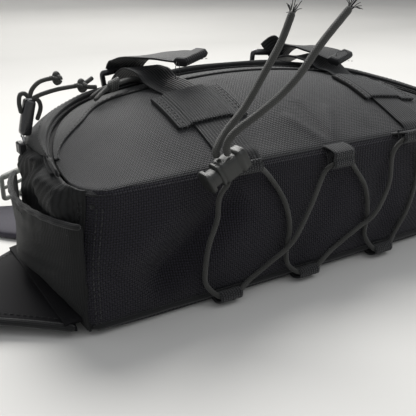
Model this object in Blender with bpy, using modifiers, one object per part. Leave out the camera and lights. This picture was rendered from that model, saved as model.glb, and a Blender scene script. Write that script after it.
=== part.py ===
"""Lumbar pack lying on its back panel: padded back, main compartment, laced front pocket, belt and sling.

Frame: origin in the middle of the back panel's outer face, +X along the pack, +Z up through the
front pocket, -Y towards the pack's base, whose wall the elastic lace crosses. Metres throughout.
"""

import math

import bmesh
import bpy
import numpy as np
from mathutils import Matrix, Vector

# ---------------------------------------------------------------- driving dimensions
NAME = "lumbar_pack"
HALF_WIDTH = 0.150  # half the pack's length, along X
HALF_DEPTH = 0.060  # half the pack's worn height, along Y
BACK_THICKNESS = 0.012  # padded back panel
SEAM_HEIGHT = 0.080  # where the base wall meets the front pocket
END_HEIGHT = 0.0886  # the pocket's zip line at the pack's ends
CREST_HEIGHT = 0.1116  # the pocket's zip line in the middle
POCKET_BULGE = 0.004  # extra fullness of the front pocket
BASE_BULGE = 0.005  # fullness of the base wall
END_BULGE = 0.005  # fullness of the end walls
GAP = 0.0004  # between pieces that touch
FABRIC = 0.002  # lined fabric walls
POCKET_FABRIC = 0.0015  # stretch fabric of the side pockets

POCKET_HALF = 0.148  # half the front pocket's length
POCKET_FAR = 0.0475  # its zip line's furthest Y
NEAR_CORNER = 0.015  # radius of its corners at the base seam
FAR_CORNER = (0.055, 0.060)  # half axes of its corners at the zip
CREST_RISE = 0.0045  # the top gusset stands this much above the zip line

WEB = 0.025  # compression webbing
WEB_THICK = 0.0014
KEEPER_DEPTH = 0.036  # wider webbing over it
BELT_WEB = 0.038
CORD = 0.003  # stretched elastic cord of the lace
FREE_CORD = 0.004  # the same cord, slack

WING_HINGE = HALF_WIDTH + 0.0033  # X of the wings' hinge lines, clear of the back panel
WING_ROOT = HALF_WIDTH + 0.0050  # where the wings start
HINGE_HEIGHT = 0.0055
WING_LENGTH = 0.058
WING_THICK = 0.007
BELT_LENGTH = 0.105

TOP_LOOPS = ((-0.0560, 0.0815), (0.0120, 0.0735), (0.0700, 0.0805))  # X and Z of the loops at the seam
BASE_LOOPS = (-0.0670, -0.0095, 0.0540)  # X of the loops at the base edge
BASE_LOOP_HEIGHT = 0.0060
LOOP_Y = -0.0676
LOOP_INNER = 0.0032  # radius of the cord's eye
LOOP_OUTER = 0.0044
LOOP_WIDTH = 0.011

# ---------------------------------------------------------------- scene and materials
for old in list(bpy.data.objects):
    bpy.data.objects.remove(old)

parts = bpy.data.collections.new(NAME)
cutters = bpy.data.collections.new("cutters")
for made in (parts, cutters):
    bpy.context.scene.collection.children.link(made)


def material(name, colour, roughness, metallic=0.0):
    made = bpy.data.materials.new(name)
    made.use_nodes = True
    shader = made.node_tree.nodes["Principled BSDF"]
    shader.inputs["Base Color"].default_value = (*colour, 1.0)
    shader.inputs["Roughness"].default_value = roughness
    shader.inputs["Metallic"].default_value = metallic
    return made


BALLISTIC = material("ballistic_nylon", (0.045, 0.046, 0.050), 0.75)
RIPSTOP = material("ripstop_nylon", (0.028, 0.028, 0.031), 0.70)
MESH_PAD = material("spacer_mesh", (0.030, 0.030, 0.033), 0.90)
WEBBING = material("webbing", (0.038, 0.039, 0.042), 0.65)
ELASTIC = material("elastic_cord", (0.030, 0.030, 0.031), 0.60)
ACETAL = material("acetal", (0.022, 0.022, 0.023), 0.35)
MOULDED = material("moulded_nylon", (0.075, 0.074, 0.068), 0.45)
COIL = material("zip_coil", (0.015, 0.015, 0.016), 0.45)


# ---------------------------------------------------------------- helpers
def add(obj, surface, collection=parts):
    """Link the object and give it its material."""
    collection.objects.link(obj)
    obj.data.materials.clear()
    obj.data.materials.append(surface)
    return obj


def mesh_object(name, bm, surface, collection=parts):
    mesh = bpy.data.meshes.new(name)
    bm.to_mesh(mesh)
    bm.free()
    return add(bpy.data.objects.new(name, mesh), surface, collection)


def rounded_box(name, low, high, radius, surface, segments=2, collection=parts):
    """A box between two corners, its edges rounded."""
    low, high = Vector(low), Vector(high)
    bm = bmesh.new()
    bmesh.ops.create_cube(bm, size=1.0)
    for v in bm.verts:
        v.co = Vector((low[i] + (v.co[i] + 0.5) * (high[i] - low[i]) for i in range(3)))
    if radius:
        edges = list(bm.edges)
        bmesh.ops.bevel(bm, geom=edges, offset=radius, segments=segments, profile=0.5, affect="EDGES")
    return mesh_object(name, bm, surface, collection)


def cutter(name, low, high):
    """A plain box that a Boolean uses, and that isn't a part."""
    made = rounded_box(name, low, high, 0, ACETAL, collection=cutters)
    made.hide_render = True
    made.display_type = "WIRE"
    return made


def sheet(name, place, along, across, thickness, surface):
    """A surface given by place(u, v), u and v from 0 to 1, thickened away from its normals."""
    bm = bmesh.new()
    bmesh.ops.create_grid(bm, x_segments=along, y_segments=across, size=0.5)
    for v in bm.verts:
        v.co = Vector(place(v.co.x + 0.5, v.co.y + 0.5))
    obj = mesh_object(name, bm, surface)
    solid = obj.modifiers.new("cloth", "SOLIDIFY")
    solid.thickness = thickness
    solid.offset = -1.0
    return obj


def smooth_route(points, count):
    """Points evenly spaced along a Catmull-Rom curve through the given ones."""
    p = np.array(points, float)
    p = np.vstack([2 * p[0] - p[1], p, 2 * p[-1] - p[-2]])
    t = np.linspace(0, 1, 24, endpoint=False)[:, None]
    runs = []
    for a, b, c, d in zip(p[:-3], p[1:-2], p[2:-1], p[3:], strict=True):
        square, cube = 2 * a - 5 * b + 4 * c - d, 3 * b - a - 3 * c + d
        runs.append(0.5 * (2 * b + (c - a) * t + square * t**2 + cube * t**3))
    line = np.vstack([*runs, p[-2]])
    reach = np.concatenate([[0], np.cumsum(np.linalg.norm(np.diff(line, axis=0), axis=1))])
    at = np.linspace(0, reach[-1], count)
    return np.stack([np.interp(at, reach, line[:, k]) for k in range(3)], axis=1)


def tube(name, route, diameter, count, surface, resolution=2):
    """A round cord along a smooth curve through the route's points."""
    curve = bpy.data.curves.new(name, "CURVE")
    curve.dimensions = "3D"
    curve.bevel_depth = diameter / 2
    curve.bevel_resolution = resolution
    curve.use_fill_caps = True
    spline = curve.splines.new("POLY")
    spline.points.add(count - 1)
    for point, place in zip(spline.points, smooth_route(route, count), strict=True):
        point.co = (*place, 1.0)
    return add(bpy.data.objects.new(name, curve), surface)


def ribbon(name, route, width, thickness, count, surface, across=(1.0, 0.0, 0.0)):
    """Webbing along a smooth curve, flat across the given direction."""
    line = smooth_route(route, count)
    side = Vector(across).normalized() * width

    def place(u, v):
        return Vector(line[round(u * (count - 1))]) + (v - 0.5) * side

    return sheet(name, place, count - 1, 1, thickness, surface)


def outline(name, loops, thickness, surface):
    """A flat piece in its own XY plane: the first loop is its edge, and the others are holes."""
    curve = bpy.data.curves.new(name, "CURVE")
    curve.dimensions = "2D"
    curve.fill_mode = "BOTH"
    curve.extrude = thickness / 2
    for loop in loops:
        spline = curve.splines.new("POLY")
        spline.points.add(len(loop) - 1)
        for point, (x, y) in zip(spline.points, loop, strict=True):
            point.co = (x, y, 0.0, 1.0)
        spline.use_cyclic_u = True
    return add(bpy.data.objects.new(name, curve), surface)


def rounded_rectangle(width, height, radius, centre=(0.0, 0.0), steps=3):
    """The outline of a rectangle with round corners."""
    points = []
    for quarter, (sx, sy) in enumerate(((1, 1), (-1, 1), (-1, -1), (1, -1))):
        for step in range(steps + 1):
            angle = math.pi / 2 * (quarter + step / steps)
            x = centre[0] + sx * (width / 2 - radius) + radius * math.cos(angle)
            y = centre[1] + sy * (height / 2 - radius) + radius * math.sin(angle)
            points.append((x, y))
    return points


def ring(radius, centre=(0.0, 0.0), count=12):
    """The outline of a circle."""
    turns = [2 * math.pi * i / count for i in range(count)]
    return [(centre[0] + radius * math.cos(t), centre[1] + radius * math.sin(t)) for t in turns]


def stand(obj, place, matrix):
    """Place an object by the point of its own origin and a turn."""
    obj.matrix_world = Matrix.Translation(Vector(place)) @ matrix.to_4x4()
    return obj


def pivot(name, place, *children):
    """An empty on a joint's axis, which its pieces are parented to."""
    empty = bpy.data.objects.new(name, None)
    empty.location = place
    parts.objects.link(empty)
    for child in children:
        child.parent = empty
        child.matrix_parent_inverse = Matrix.Translation(-Vector(place))
    return empty


# ---------------------------------------------------------------- the pack's own surfaces
def fullness(x):
    """1 in the middle of the pack, 0 at its ends."""
    return max(0.0, 1 - (x / HALF_WIDTH) ** 2)


def front_height(x, y):
    """Height of the front pocket's outer face: a quarter sine from the base seam up to the zip line."""
    q = fullness(x)
    zip_height = END_HEIGHT + (CREST_HEIGHT - END_HEIGHT) * q
    s = min(1.0, max(0.0, (y + HALF_DEPTH) / (HALF_DEPTH + POCKET_FAR)))
    rise = (zip_height - SEAM_HEIGHT) * math.sin(math.pi * s / 2)
    return SEAM_HEIGHT + rise + POCKET_BULGE * math.sin(math.pi * s) * q


def near_edge(x):
    """The pocket's edge along the base seam, with round corners."""
    past = max(0.0, abs(x) - (POCKET_HALF - NEAR_CORNER))
    return -HALF_DEPTH + NEAR_CORNER - math.sqrt(max(0.0, NEAR_CORNER**2 - past**2))


def far_edge(x):
    """The pocket's edge along its zip, with long elliptical corners."""
    a, b = FAR_CORNER
    past = max(0.0, abs(x) - (POCKET_HALF - a))
    return POCKET_FAR - b * (1 - math.sqrt(max(0.0, 1 - (past / a) ** 2)))


def base_out(x, z):
    """How far the base wall stands out past the straight line between its seams."""
    return BASE_BULGE * fullness(x) * math.sin(math.pi * min(1.0, max(0.0, z / SEAM_HEIGHT)))


def across_pack(u, half):
    """X for u from 0 to 1, with the points closer together near the ends."""
    return -half * math.cos(math.pi * u)


# ---------------------------------------------------------------- back, walls and front pocket
def back_panel():
    corner = (HALF_WIDTH - 0.0005, HALF_DEPTH - 0.001)
    return rounded_box("back_panel", (-corner[0], -corner[1], 0), (*corner, BACK_THICKNESS), 0.003, MESH_PAD)


def base_wall():
    low, high = BACK_THICKNESS + GAP, SEAM_HEIGHT - FABRIC - 2 * GAP

    def place(u, v):
        x = (2 * u - 1) * (HALF_WIDTH - 0.003)
        z = low + (high - low) * v
        return x, -HALF_DEPTH - base_out(x, z), z

    return sheet("base_wall", place, 12, 5, FABRIC, BALLISTIC)


def end_top(y):
    """Top of the end walls, under the front pocket and the gusset."""
    dip = min(1.0, max(0.0, (y - 0.028) / 0.015))
    return front_height(POCKET_HALF - 0.001, y) - 0.0035 - 0.0078 * dip * dip * (3 - 2 * dip)


def end_wall(name, side):
    low, inner, start, stop = BACK_THICKNESS + GAP, 0.1460, -0.0565, 0.0565

    def place(u, v):
        y = start + (stop - start) * (u if side < 0 else 1 - u)
        z = low + (end_top(y) - low) * v
        s = (y - start) / (stop - start)
        return side * (inner + END_BULGE * math.sin(math.pi * s) * math.sin(math.pi * v)), y, z

    made = sheet(name, place, 8, 5, FABRIC, RIPSTOP)
    made.modifiers["cloth"].offset = 1.0
    return made


def divider():
    corner = (0.1425, 0.0570)
    return rounded_box("divider", (-corner[0], -0.0565, 0.0715), (corner[0], corner[1], 0.0730), 0, RIPSTOP)


def front_pocket():
    def place(u, v):
        x = across_pack(u, POCKET_HALF)
        y = near_edge(x) + (far_edge(x) - near_edge(x)) * v
        return x, y, front_height(x, y)

    return sheet("front_pocket", place, 20, 8, FABRIC, BALLISTIC)


def zip_line(u, out, up):
    """A point beside the pocket's zip line, out towards the gusset and up from it."""
    x = across_pack(u, POCKET_HALF)
    return Vector((x, far_edge(x) + out, front_height(x, far_edge(x)) + up))


def front_zip_tape():
    def place(u, v):
        return zip_line(0.082 + 0.836 * u, 0.0009 + 0.0030 * v, -0.0030)

    return sheet("front_zip_tape", place, 20, 1, 0.0010, COIL)


def rim(u):
    """The main compartment's zip path: along both ends, round the far corners and along the far wall."""
    half, start, far, radius = HALF_WIDTH - 0.0005, 0.000, HALF_DEPTH - 0.001, 0.010
    leg, arc = far - radius - start, radius * math.pi / 2
    run = 2 * (leg + arc + half - radius)
    s = u * run
    side = -1 if s < run / 2 else 1
    s = min(s, run - s)
    if s < leg:
        x, y = half, start + s
    elif s < leg + arc:
        t = (s - leg) / radius
        x, y = half - radius + radius * math.cos(t), far - radius + radius * math.sin(t)
    else:
        x, y = half - radius - (s - leg - arc), far
    return side * x, y, 0.0855 + 0.0075 * fullness(x)


def gusset():
    def place(u, v):
        inner = zip_line(u, 0.0045, 0.0)
        outer = Vector(rim(u))
        mid = inner.lerp(outer, v)
        mid.z = inner.z + (outer.z - inner.z) * v**2.2 + CREST_RISE * math.sin(math.pi * v**0.7)
        return mid

    return sheet("gusset", place, 28, 5, POCKET_FABRIC, RIPSTOP)


def main_zip_tape():
    def place(u, v):
        x, y, z = rim(0.012 + 0.976 * u)
        return x, y, z - FABRIC - 0.0002 - 0.0035 * (1 - v)

    return sheet("main_zip_tape", place, 40, 1, 0.0010, COIL)


def far_flap():
    """The zipped far wall, sewn to the back panel along its lower edge."""
    low, high = BACK_THICKNESS + 0.0015, 0.0790
    return rounded_box("far_flap", (-0.1380, 0.0578, low), (0.1380, 0.0598, high), 0, BALLISTIC)


def side_pocket(name, side):
    low, start, stop = BACK_THICKNESS + 0.0015, -0.0575, 0.0575

    def place(u, v):
        y = start + (stop - start) * (u if side > 0 else 1 - u)
        s = (y - start) / (stop - start)
        hem = 0.0620 - 0.0180 * s - 0.004 * math.sin(math.pi * s)
        out = 0.0150 * math.sin(math.pi * s) ** 0.8 * (0.35 + 0.65 * v)
        return side * (0.1500 + out), y, low + (hem - low) * v

    return sheet(name, place, 10, 4, POCKET_FABRIC, RIPSTOP)


# ---------------------------------------------------------------- belt and sling
def wing_half(t):
    """Half the hip wing's width, from its root to the belt webbing."""
    return 0.0195 + 0.0370 * (1 - t) ** 1.3


def wing(name, side):
    def place(u, v):
        s = (2 * v - 1) * (1 if side > 0 else -1)
        return side * (WING_ROOT + WING_LENGTH * u), s * wing_half(u), 0.0090 + 0.0040 * u

    return sheet(name, place, 8, 4, WING_THICK, MESH_PAD)


def belt_web(name, side):
    start = WING_ROOT + WING_LENGTH + 0.0010
    drop = ((0.000, 0.0100), (0.030, 0.0070), (0.060, 0.0045), (BELT_LENGTH, 0.0045))
    route = [(side * (start + run), 0.0, height) for run, height in drop]
    return ribbon(name, route, BELT_WEB, 0.0020, 8, WEBBING, across=(0.0, side, 0.0))


BUCKLE_X = WING_ROOT + WING_LENGTH + 0.0010 + BELT_LENGTH + 0.0018
BUCKLE_Z = 0.0065
BUCKLE_WIDTH = 0.048
BUCKLE_BAR = 0.0023  # middle of the rear bar, behind the webbing slot


def buckle_plug():
    """The forked half: a webbing frame with two sprung side arms and a middle guide."""
    arm, base, width = 0.026, 0.016, BUCKLE_WIDTH
    half = width / 2
    edge = [(0, -half + 0.003), (0.003, -half), (base, -half), (base + 0.006, -half + 0.003)]
    edge += [(base + arm - 0.006, -half + 0.003), (base + arm, -half + 0.008)]
    edge += [(base + arm - 0.004, -half + 0.010)]
    edge += [(base + 0.006, -half + 0.009), (base + 0.003, -0.0040), (base + arm - 0.004, -0.0030)]
    loop = edge + [(x, -y) for x, y in reversed(edge)]
    slot = rounded_rectangle(0.0064, 0.0400, 0.001, (0.0078, 0.0))
    made = outline("buckle_plug", [loop, slot], 0.0050, ACETAL)
    return stand(made, (BUCKLE_X, 0, BUCKLE_Z), Matrix.Identity(3))


def modify(obj, other, operation):
    """Join a cutter's box to an object, or cut it away, with an exact Boolean."""
    change = obj.modifiers.new(other.name, "BOOLEAN")
    change.object = other
    change.operation = operation
    change.solver = "EXACT"


def buckle_socket():
    """The hollow half, open at its outer end, with a thin webbing frame behind."""
    x, half = BUCKLE_X, BUCKLE_WIDTH / 2
    low, high = (-x - 0.042, -half, 0.0005), (-x - 0.012, half, 0.0125)
    made = rounded_box("buckle_socket", low, high, 0.002, ACETAL)
    frame = cutter("add_frame", (-x - 0.020, -half + 0.001, 0.0040), (-x, half - 0.001, 0.0090))
    mouth = cutter("cut_mouth", (-x - 0.050, -0.0205, 0.0030), (-x - 0.015, 0.0205, 0.0100))
    slot = cutter("cut_slot", (-x - 0.0110, -0.0200, -0.01), (-x - 0.0046, 0.0200, 0.03))
    modify(made, frame, "UNION")
    modify(made, mouth, "DIFFERENCE")
    modify(made, slot, "DIFFERENCE")
    return made


def flat_band(name, route, width, height, thickness, count, surface):
    """A band lying flat on the ground plane along a smooth curve."""
    line = smooth_route([(x, y, 0.0) for x, y in route], count)
    ahead = np.gradient(line, axis=0)
    ahead /= np.linalg.norm(ahead, axis=1)[:, None]

    def place(u, v):
        i = round(u * (count - 1))
        x, y, _ = line[i]
        return x - ahead[i, 1] * (v - 0.5) * width, y + ahead[i, 0] * (v - 0.5) * width, height

    return sheet(name, place, count - 1, 1, thickness, surface)


SLING_PAD_ROUTE = ((-0.1060, 0.0830), (-0.1270, 0.0900), (-0.1440, 0.1060), (-0.1490, 0.1260))
SLING_PAD_ROUTE += ((-0.1420, 0.1440),)
SLING_WEB_ROUTE = ((-0.1180, 0.1640), (-0.1000, 0.1730), (-0.0500, 0.1790), (0.0500, 0.1790))
SLING_WEB_ROUTE += ((0.1200, 0.1680), (0.1480, 0.1380), (0.1400, 0.1040), (0.1150, 0.0790))
SLING_ADJUSTER = (-0.1285, 0.1560, 0.0172)
SLING_TURN = math.radians(35)
LADDER = (0.031, 0.022)  # width and height of a ladder lock for the compression webbing


def ladder_lock(name, surface):
    """A flat frame with two slots, the webbing's bar between them."""
    width, height = LADDER
    slots = [rounded_rectangle(0.0250, 0.0058, 0.001, (0.0, y)) for y in (-0.0045, 0.0042)]
    return outline(name, [rounded_rectangle(width, height, 0.003), *slots], 0.0030, surface)


# ---------------------------------------------------------------- compression straps
LOWER_BAR = 0.003  # the ladder lock's lower bar, which it turns about
KEEPER_Y, KEEPER_HALF = -0.0080, 0.0240
UPRIGHT = Matrix.Rotation(math.pi / 2, 3, "X")  # stands an outline up, its Y along Z
STRAPS = {
    "left": {
        "x": -0.0530,
        "keeper": -0.0520,
        "arch": (
            (-0.0570, 0.0300, 0.1115),
            (-0.0600, 0.0390, 0.1175),
            (-0.0630, 0.0520, 0.1180),
            (-0.0650, 0.0640, 0.1100),
            (-0.0655, 0.0700, 0.1000),
        ),
        "lock": (-0.0655, 0.0740, 0.1060),
        "tilt": -8,
        "tail": (
            (-0.0640, 0.0690, 0.1170),
            (-0.0610, 0.0560, 0.1235),
            (-0.0510, 0.0360, 0.1285),
            (-0.0430, 0.0150, 0.1305),
        ),
        "across": (1.0, 0.25, 0.08),
    },
    "right": {
        "x": 0.0880,
        "keeper": 0.0930,
        "arch": (
            (0.0860, 0.0320, 0.1090),
            (0.0800, 0.0420, 0.1140),
            (0.0720, 0.0540, 0.1145),
            (0.0620, 0.0650, 0.1090),
            (0.0580, 0.0700, 0.1010),
        ),
        "lock": (0.0580, 0.0740, 0.1080),
        "tilt": 4,
        "tail": (
            (0.0700, 0.0690, 0.1200),
            (0.0770, 0.0560, 0.1215),
            (0.0860, 0.0400, 0.1195),
            (0.0940, 0.0230, 0.1150),
        ),
        "across": (1.0, 0.25, -0.12),
    },
}


def on_front(x, y, up):
    return x, y, front_height(x, y) + up


def compression_strap(name, x, arch):
    """Webbing from the base seam over the pocket, then the free arch to its ladder lock."""
    held = [on_front(x, y, 0.0006) for y in (-0.0594, -0.052, -0.042, -0.030, -0.018, -0.006, 0.006, 0.018)]
    line = smooth_route(held + list(arch), 25)

    def place(u, v):
        px, py, pz = line[round(u * 24)]
        side = px + (v - 0.5) * WEB
        lying = min(1.0, max(0.0, (0.034 - py) / 0.010))
        return side, py, pz + lying * (front_height(side, py) - front_height(px, py))

    return sheet(name, place, 24, 2, WEB_THICK, WEBBING)


def keeper(name, x, y, half):
    """Wide webbing sewn down at both ends over a compression strap."""

    def place(u, v):
        px, py = x + (2 * u - 1) * half, y + (v - 0.5) * KEEPER_DEPTH
        over = min(1.0, max(0.0, (half - abs(px - x)) / 0.006))
        up = 0.0023 + (WEB_THICK + 0.0010) * over * over * (3 - 2 * over)
        return on_front(px, py, up)

    return sheet(name, place, 12, 6, 0.0016, WEBBING)


def tail(name, route, across):
    """The strap's spare end, with its folded hem."""
    return ribbon(name, route, WEB, WEB_THICK + 0.0004, 12, WEBBING, across=across)


# ---------------------------------------------------------------- lace
def cord_loop(name, x, z, upward):
    """A webbing loop sewn into a seam, seen along the pack: an eye with a short tab."""
    way = 1 if upward else -1
    turns = np.linspace(math.pi / 2, 2 * math.pi, 12)
    loop = [(LOOP_OUTER * math.cos(t), way * LOOP_OUTER * math.sin(t)) for t in turns]
    loop += [(LOOP_OUTER + 0.0024, way * 0.0040), (LOOP_OUTER + 0.0018, way * 0.0052)]
    made = outline(name, [loop, ring(LOOP_INNER)], LOOP_WIDTH, WEBBING)
    turn = Matrix(((0, 0, 1), (1, 0, 0), (0, 1, 0)))  # the outline's plane becomes YZ
    return stand(made, (x, LOOP_Y, z), turn)


def on_base(x, z, lift=0.0):
    """A cord's centre on the base wall."""
    return x, -HALF_DEPTH - base_out(x, z) - CORD / 2 - 0.0008 - lift, z


def lace():
    """The elastic cord, held all the way: out of the lock, down and up through every loop, and back."""

    def through(x, z, towards, way=1):
        """Three points through a loop, the outer two a little towards the strands."""
        return [(x + way * step, LOOP_Y, z + towards * abs(step) * 0.12) for step in (-0.0068, 0.0, 0.0068)]

    top = [through(x, z, -1, way) for (x, z), way in zip(TOP_LOOPS, (-1, 1, -1), strict=True)]
    low = [through(x, BASE_LOOP_HEIGHT, 1, way) for x, way in zip(BASE_LOOPS, (1, -1, 1), strict=True)]
    over = 0.0036
    route = [(-0.0712, -0.0722, 0.0778), on_base(-0.0725, 0.0660), on_base(-0.0745, 0.0540)]
    route += [on_base(-0.0800, 0.0400)]
    route += [on_base(-0.0818, 0.0270), on_base(-0.0808, 0.0150), *low[0], on_base(-0.0500, 0.0100)]
    route += [on_base(-0.0376, 0.0198, over / 2), on_base(-0.0245, 0.0310, over)]
    route += [on_base(-0.0110, 0.0500, over / 2)]
    route += [on_base(0.0010, 0.0670), *top[1], on_base(0.0260, 0.0660), on_base(0.0350, 0.0520)]
    route += [on_base(0.0385, 0.0340), on_base(0.0395, 0.0180), *low[2], on_base(0.0690, 0.0130)]
    route += [on_base(0.0770, 0.0290), on_base(0.0815, 0.0480), on_base(0.0820, 0.0660), *top[2]]
    route += [on_base(0.0590, 0.0700), on_base(0.0540, 0.0520, over / 2), on_base(0.0420, 0.0350, over)]
    route += [on_base(0.0300, 0.0265, over / 2), on_base(0.0120, 0.0140), *low[1], on_base(-0.0230, 0.0130)]
    route += [on_base(-0.0258, 0.0250), on_base(-0.0250, 0.0400), on_base(-0.0290, 0.0560)]
    route += [on_base(-0.0380, 0.0710)]
    route += [*top[0], (-0.0655, -0.0700, 0.0790)]
    return tube("lace", route, CORD, 150, ELASTIC)


LOCK_PLACE = (-0.0735, -0.0735, 0.0862)
LOCK_LENGTH, LOCK_HEIGHT, LOCK_THICK = 0.0170, 0.0110, 0.0110
BORE_HALF = 0.0040  # half the side of the lock's square bore
STEM_HALF = BORE_HALF - GAP
LOCK_TILT = math.radians(26.6)  # the barrel's slope in the XZ plane

FREE_ENDS = {
    "lace_end_1": (
        (-0.0788, -0.0715, 0.0915),
        (-0.0780, -0.0700, 0.0960),
        (-0.0713, -0.0680, 0.1035),
        (-0.0597, -0.0680, 0.1150),
        (-0.0483, -0.0680, 0.1310),
        (-0.0382, -0.0680, 0.1460),
        (-0.0313, -0.0680, 0.1610),
    ),
    "lace_end_2": (
        (-0.0752, -0.0762, 0.0935),
        (-0.0760, -0.0765, 0.0990),
        (-0.0724, -0.0780, 0.1056),
        (-0.0602, -0.0820, 0.1149),
        (-0.0494, -0.0845, 0.1232),
        (-0.0400, -0.0870, 0.1331),
        (-0.0285, -0.0886, 0.1476),
        (-0.0126, -0.0902, 0.1642),
    ),
}


def lock_turn():
    """The cord lock's own axes: X along the plunger, Z the way the free ends leave."""
    return Matrix.Rotation(-LOCK_TILT, 3, "Y")


def cord_lock():
    """The barrel, with a blind bore for its plunger."""
    x, y, z = LOCK_LENGTH / 2, LOCK_THICK / 2, LOCK_HEIGHT / 2
    made = rounded_box("cord_lock", (-x, -y, -z), (x, y, z), 0.002, MOULDED)
    bore = cutter("cut_bore", (-x - 0.01, -BORE_HALF, -BORE_HALF), (x - 0.004, BORE_HALF, BORE_HALF))
    modify(made, bore, "DIFFERENCE")
    for obj in (made, bore):
        stand(obj, LOCK_PLACE, lock_turn())
    return made


def lock_plunger():
    """The plunger: a stem in the bore and a wider thumb end outside it."""
    x = -LOCK_LENGTH / 2
    low, high = (x - 0.0045, -STEM_HALF, -STEM_HALF), (x + 0.0060, STEM_HALF, STEM_HALF)
    made = rounded_box("lock_plunger", low, high, 0.0008, MOULDED, 1)
    return stand(made, LOCK_PLACE, lock_turn())


# ---------------------------------------------------------------- zip sliders and pulls
FRONT_SLIDER = (-0.0600, 0.0492, 0.1104)
MAIN_SLIDER = (-0.1530, 0.0246, 0.0840)


def slider(name, place, size):
    """A zip slider's body about its middle."""
    half = Vector(size) / 2
    return rounded_box(name, Vector(place) - half, Vector(place) + half, 0.0008, ACETAL, 1)


def front_pull():
    """A doubled cord wrapped into a barrel knot."""
    route = ((-0.0655, 0.0480, 0.1112), (-0.0730, 0.0440, 0.1115), (-0.0830, 0.0395, 0.1112))
    route += ((-0.0960, 0.0345, 0.1095), (-0.1060, 0.0290, 0.1062))
    return tube("front_zip_pull", route, 0.0060, 9, ELASTIC)


def main_pull():
    """The sleeve that stands up from the slider."""
    x, y, z = MAIN_SLIDER
    route = ((x, y, z + 0.0090), (x, y, z + 0.0180), (x + 0.004, y, z + 0.0275))
    return tube("main_zip_pull", route, 0.0070, 4, ACETAL, 3)


def main_pull_cord():
    """The cord looped through the sleeve, laid inboard to its knots."""
    x, y, z = MAIN_SLIDER
    route = ((x + 0.006, y, z + 0.0292), (x + 0.0120, y, z + 0.0360), (x + 0.0240, y, z + 0.0385))
    route += ((x + 0.0380, y - 0.002, z + 0.0330),)
    return tube("main_pull_cord", route, 0.0060, 9, ELASTIC)


# ---------------------------------------------------------------- assembly
def build():
    back_panel()
    base_wall()
    divider()
    front_pocket()
    front_zip_tape()
    gusset()
    main_zip_tape()
    flap = far_flap()
    for name, side in (("left", -1), ("right", 1)):
        end_wall(f"end_wall_{name}", side)
        side_pocket(f"side_pocket_{name}", side)

    left = wing("wing_left", -1), belt_web("belt_web_left", -1)
    right = wing("wing_right", 1), belt_web("belt_web_right", 1)
    flat_band("sling_pad", SLING_PAD_ROUTE, 0.038, 0.0055, 0.0050, 14, MESH_PAD)
    flat_band("sling_web", SLING_WEB_ROUTE, WEB, 0.0025, 0.0018, 24, WEBBING)
    adjuster = ladder_lock("sling_adjuster", MOULDED)
    stand(adjuster, SLING_ADJUSTER, Matrix.Rotation(SLING_TURN, 3, "Z") @ UPRIGHT)

    locks = []
    for side, strap in STRAPS.items():
        compression_strap(f"strap_{side}", strap["x"], strap["arch"])
        keeper(f"keeper_{side}", strap["keeper"], KEEPER_Y, KEEPER_HALF)
        tail(f"strap_tail_{side}", strap["tail"], strap["across"])
        frame = ladder_lock(f"strap_lock_{side}", ACETAL)
        turn = Matrix.Rotation(math.radians(strap["tilt"]), 3, "Y") @ UPRIGHT
        stand(frame, strap["lock"], turn)
        lower_edge = Vector(strap["lock"]) - turn @ Vector((0, LADDER[1] / 2 - LOWER_BAR / 2, 0))
        locks.append((f"strap_lock_axis_{side}", lower_edge, frame))

    for i, (x, z) in enumerate(TOP_LOOPS, 1):
        cord_loop(f"top_loop_{i}", x, z, True)
    for i, x in enumerate(BASE_LOOPS, 1):
        cord_loop(f"base_loop_{i}", x, BASE_LOOP_HEIGHT, False)
    lace()
    for name, route in FREE_ENDS.items():
        tube(name, route, FREE_CORD, 14, ELASTIC)
    cord_lock()
    plunger = lock_plunger()

    front = slider("front_zip_slider", FRONT_SLIDER, (0.0090, 0.0060, 0.0036))
    main = slider("main_zip_slider", MAIN_SLIDER, (0.0040, 0.0080, 0.0070))
    pull, sleeve, cord = front_pull(), main_pull(), main_pull_cord()
    bpy.context.view_layer.update()
    pivot("flap_axis", (0, 0.0588, BACK_THICKNESS + 0.0010), flap)
    pivot("wing_axis_left", (-WING_HINGE, 0, HINGE_HEIGHT), *left)
    pivot("wing_axis_right", (WING_HINGE, 0, HINGE_HEIGHT), *right)
    pivot("buckle_axis_left", (-BUCKLE_X - BUCKLE_BAR, 0, BUCKLE_Z), buckle_socket())
    pivot("buckle_axis_right", (BUCKLE_X + BUCKLE_BAR, 0, BUCKLE_Z), buckle_plug())
    pivot("plunger_axis", LOCK_PLACE, plunger)
    pivot("front_slider_axis", FRONT_SLIDER, front)
    pivot("front_pull_axis", (-0.0650, 0.0486, 0.1112), pull)
    pivot("main_slider_axis", MAIN_SLIDER, main)
    pivot("main_pull_axis", (MAIN_SLIDER[0], MAIN_SLIDER[1], MAIN_SLIDER[2] + 0.0050), sleeve, cord)
    for name, place, frame in locks:
        pivot(name, place, frame)


build()
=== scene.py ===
"""Looks of a small lumbar pack lying on its back panel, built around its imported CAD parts.

Frame: +X along the pack, +Y towards its top when worn, +Z out through the front pocket. Metres.
"""

import math

import bmesh
import bpy
import numpy as np
from bpy.props import FloatProperty, FloatVectorProperty, PointerProperty
from mathutils import Matrix, Vector


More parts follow.
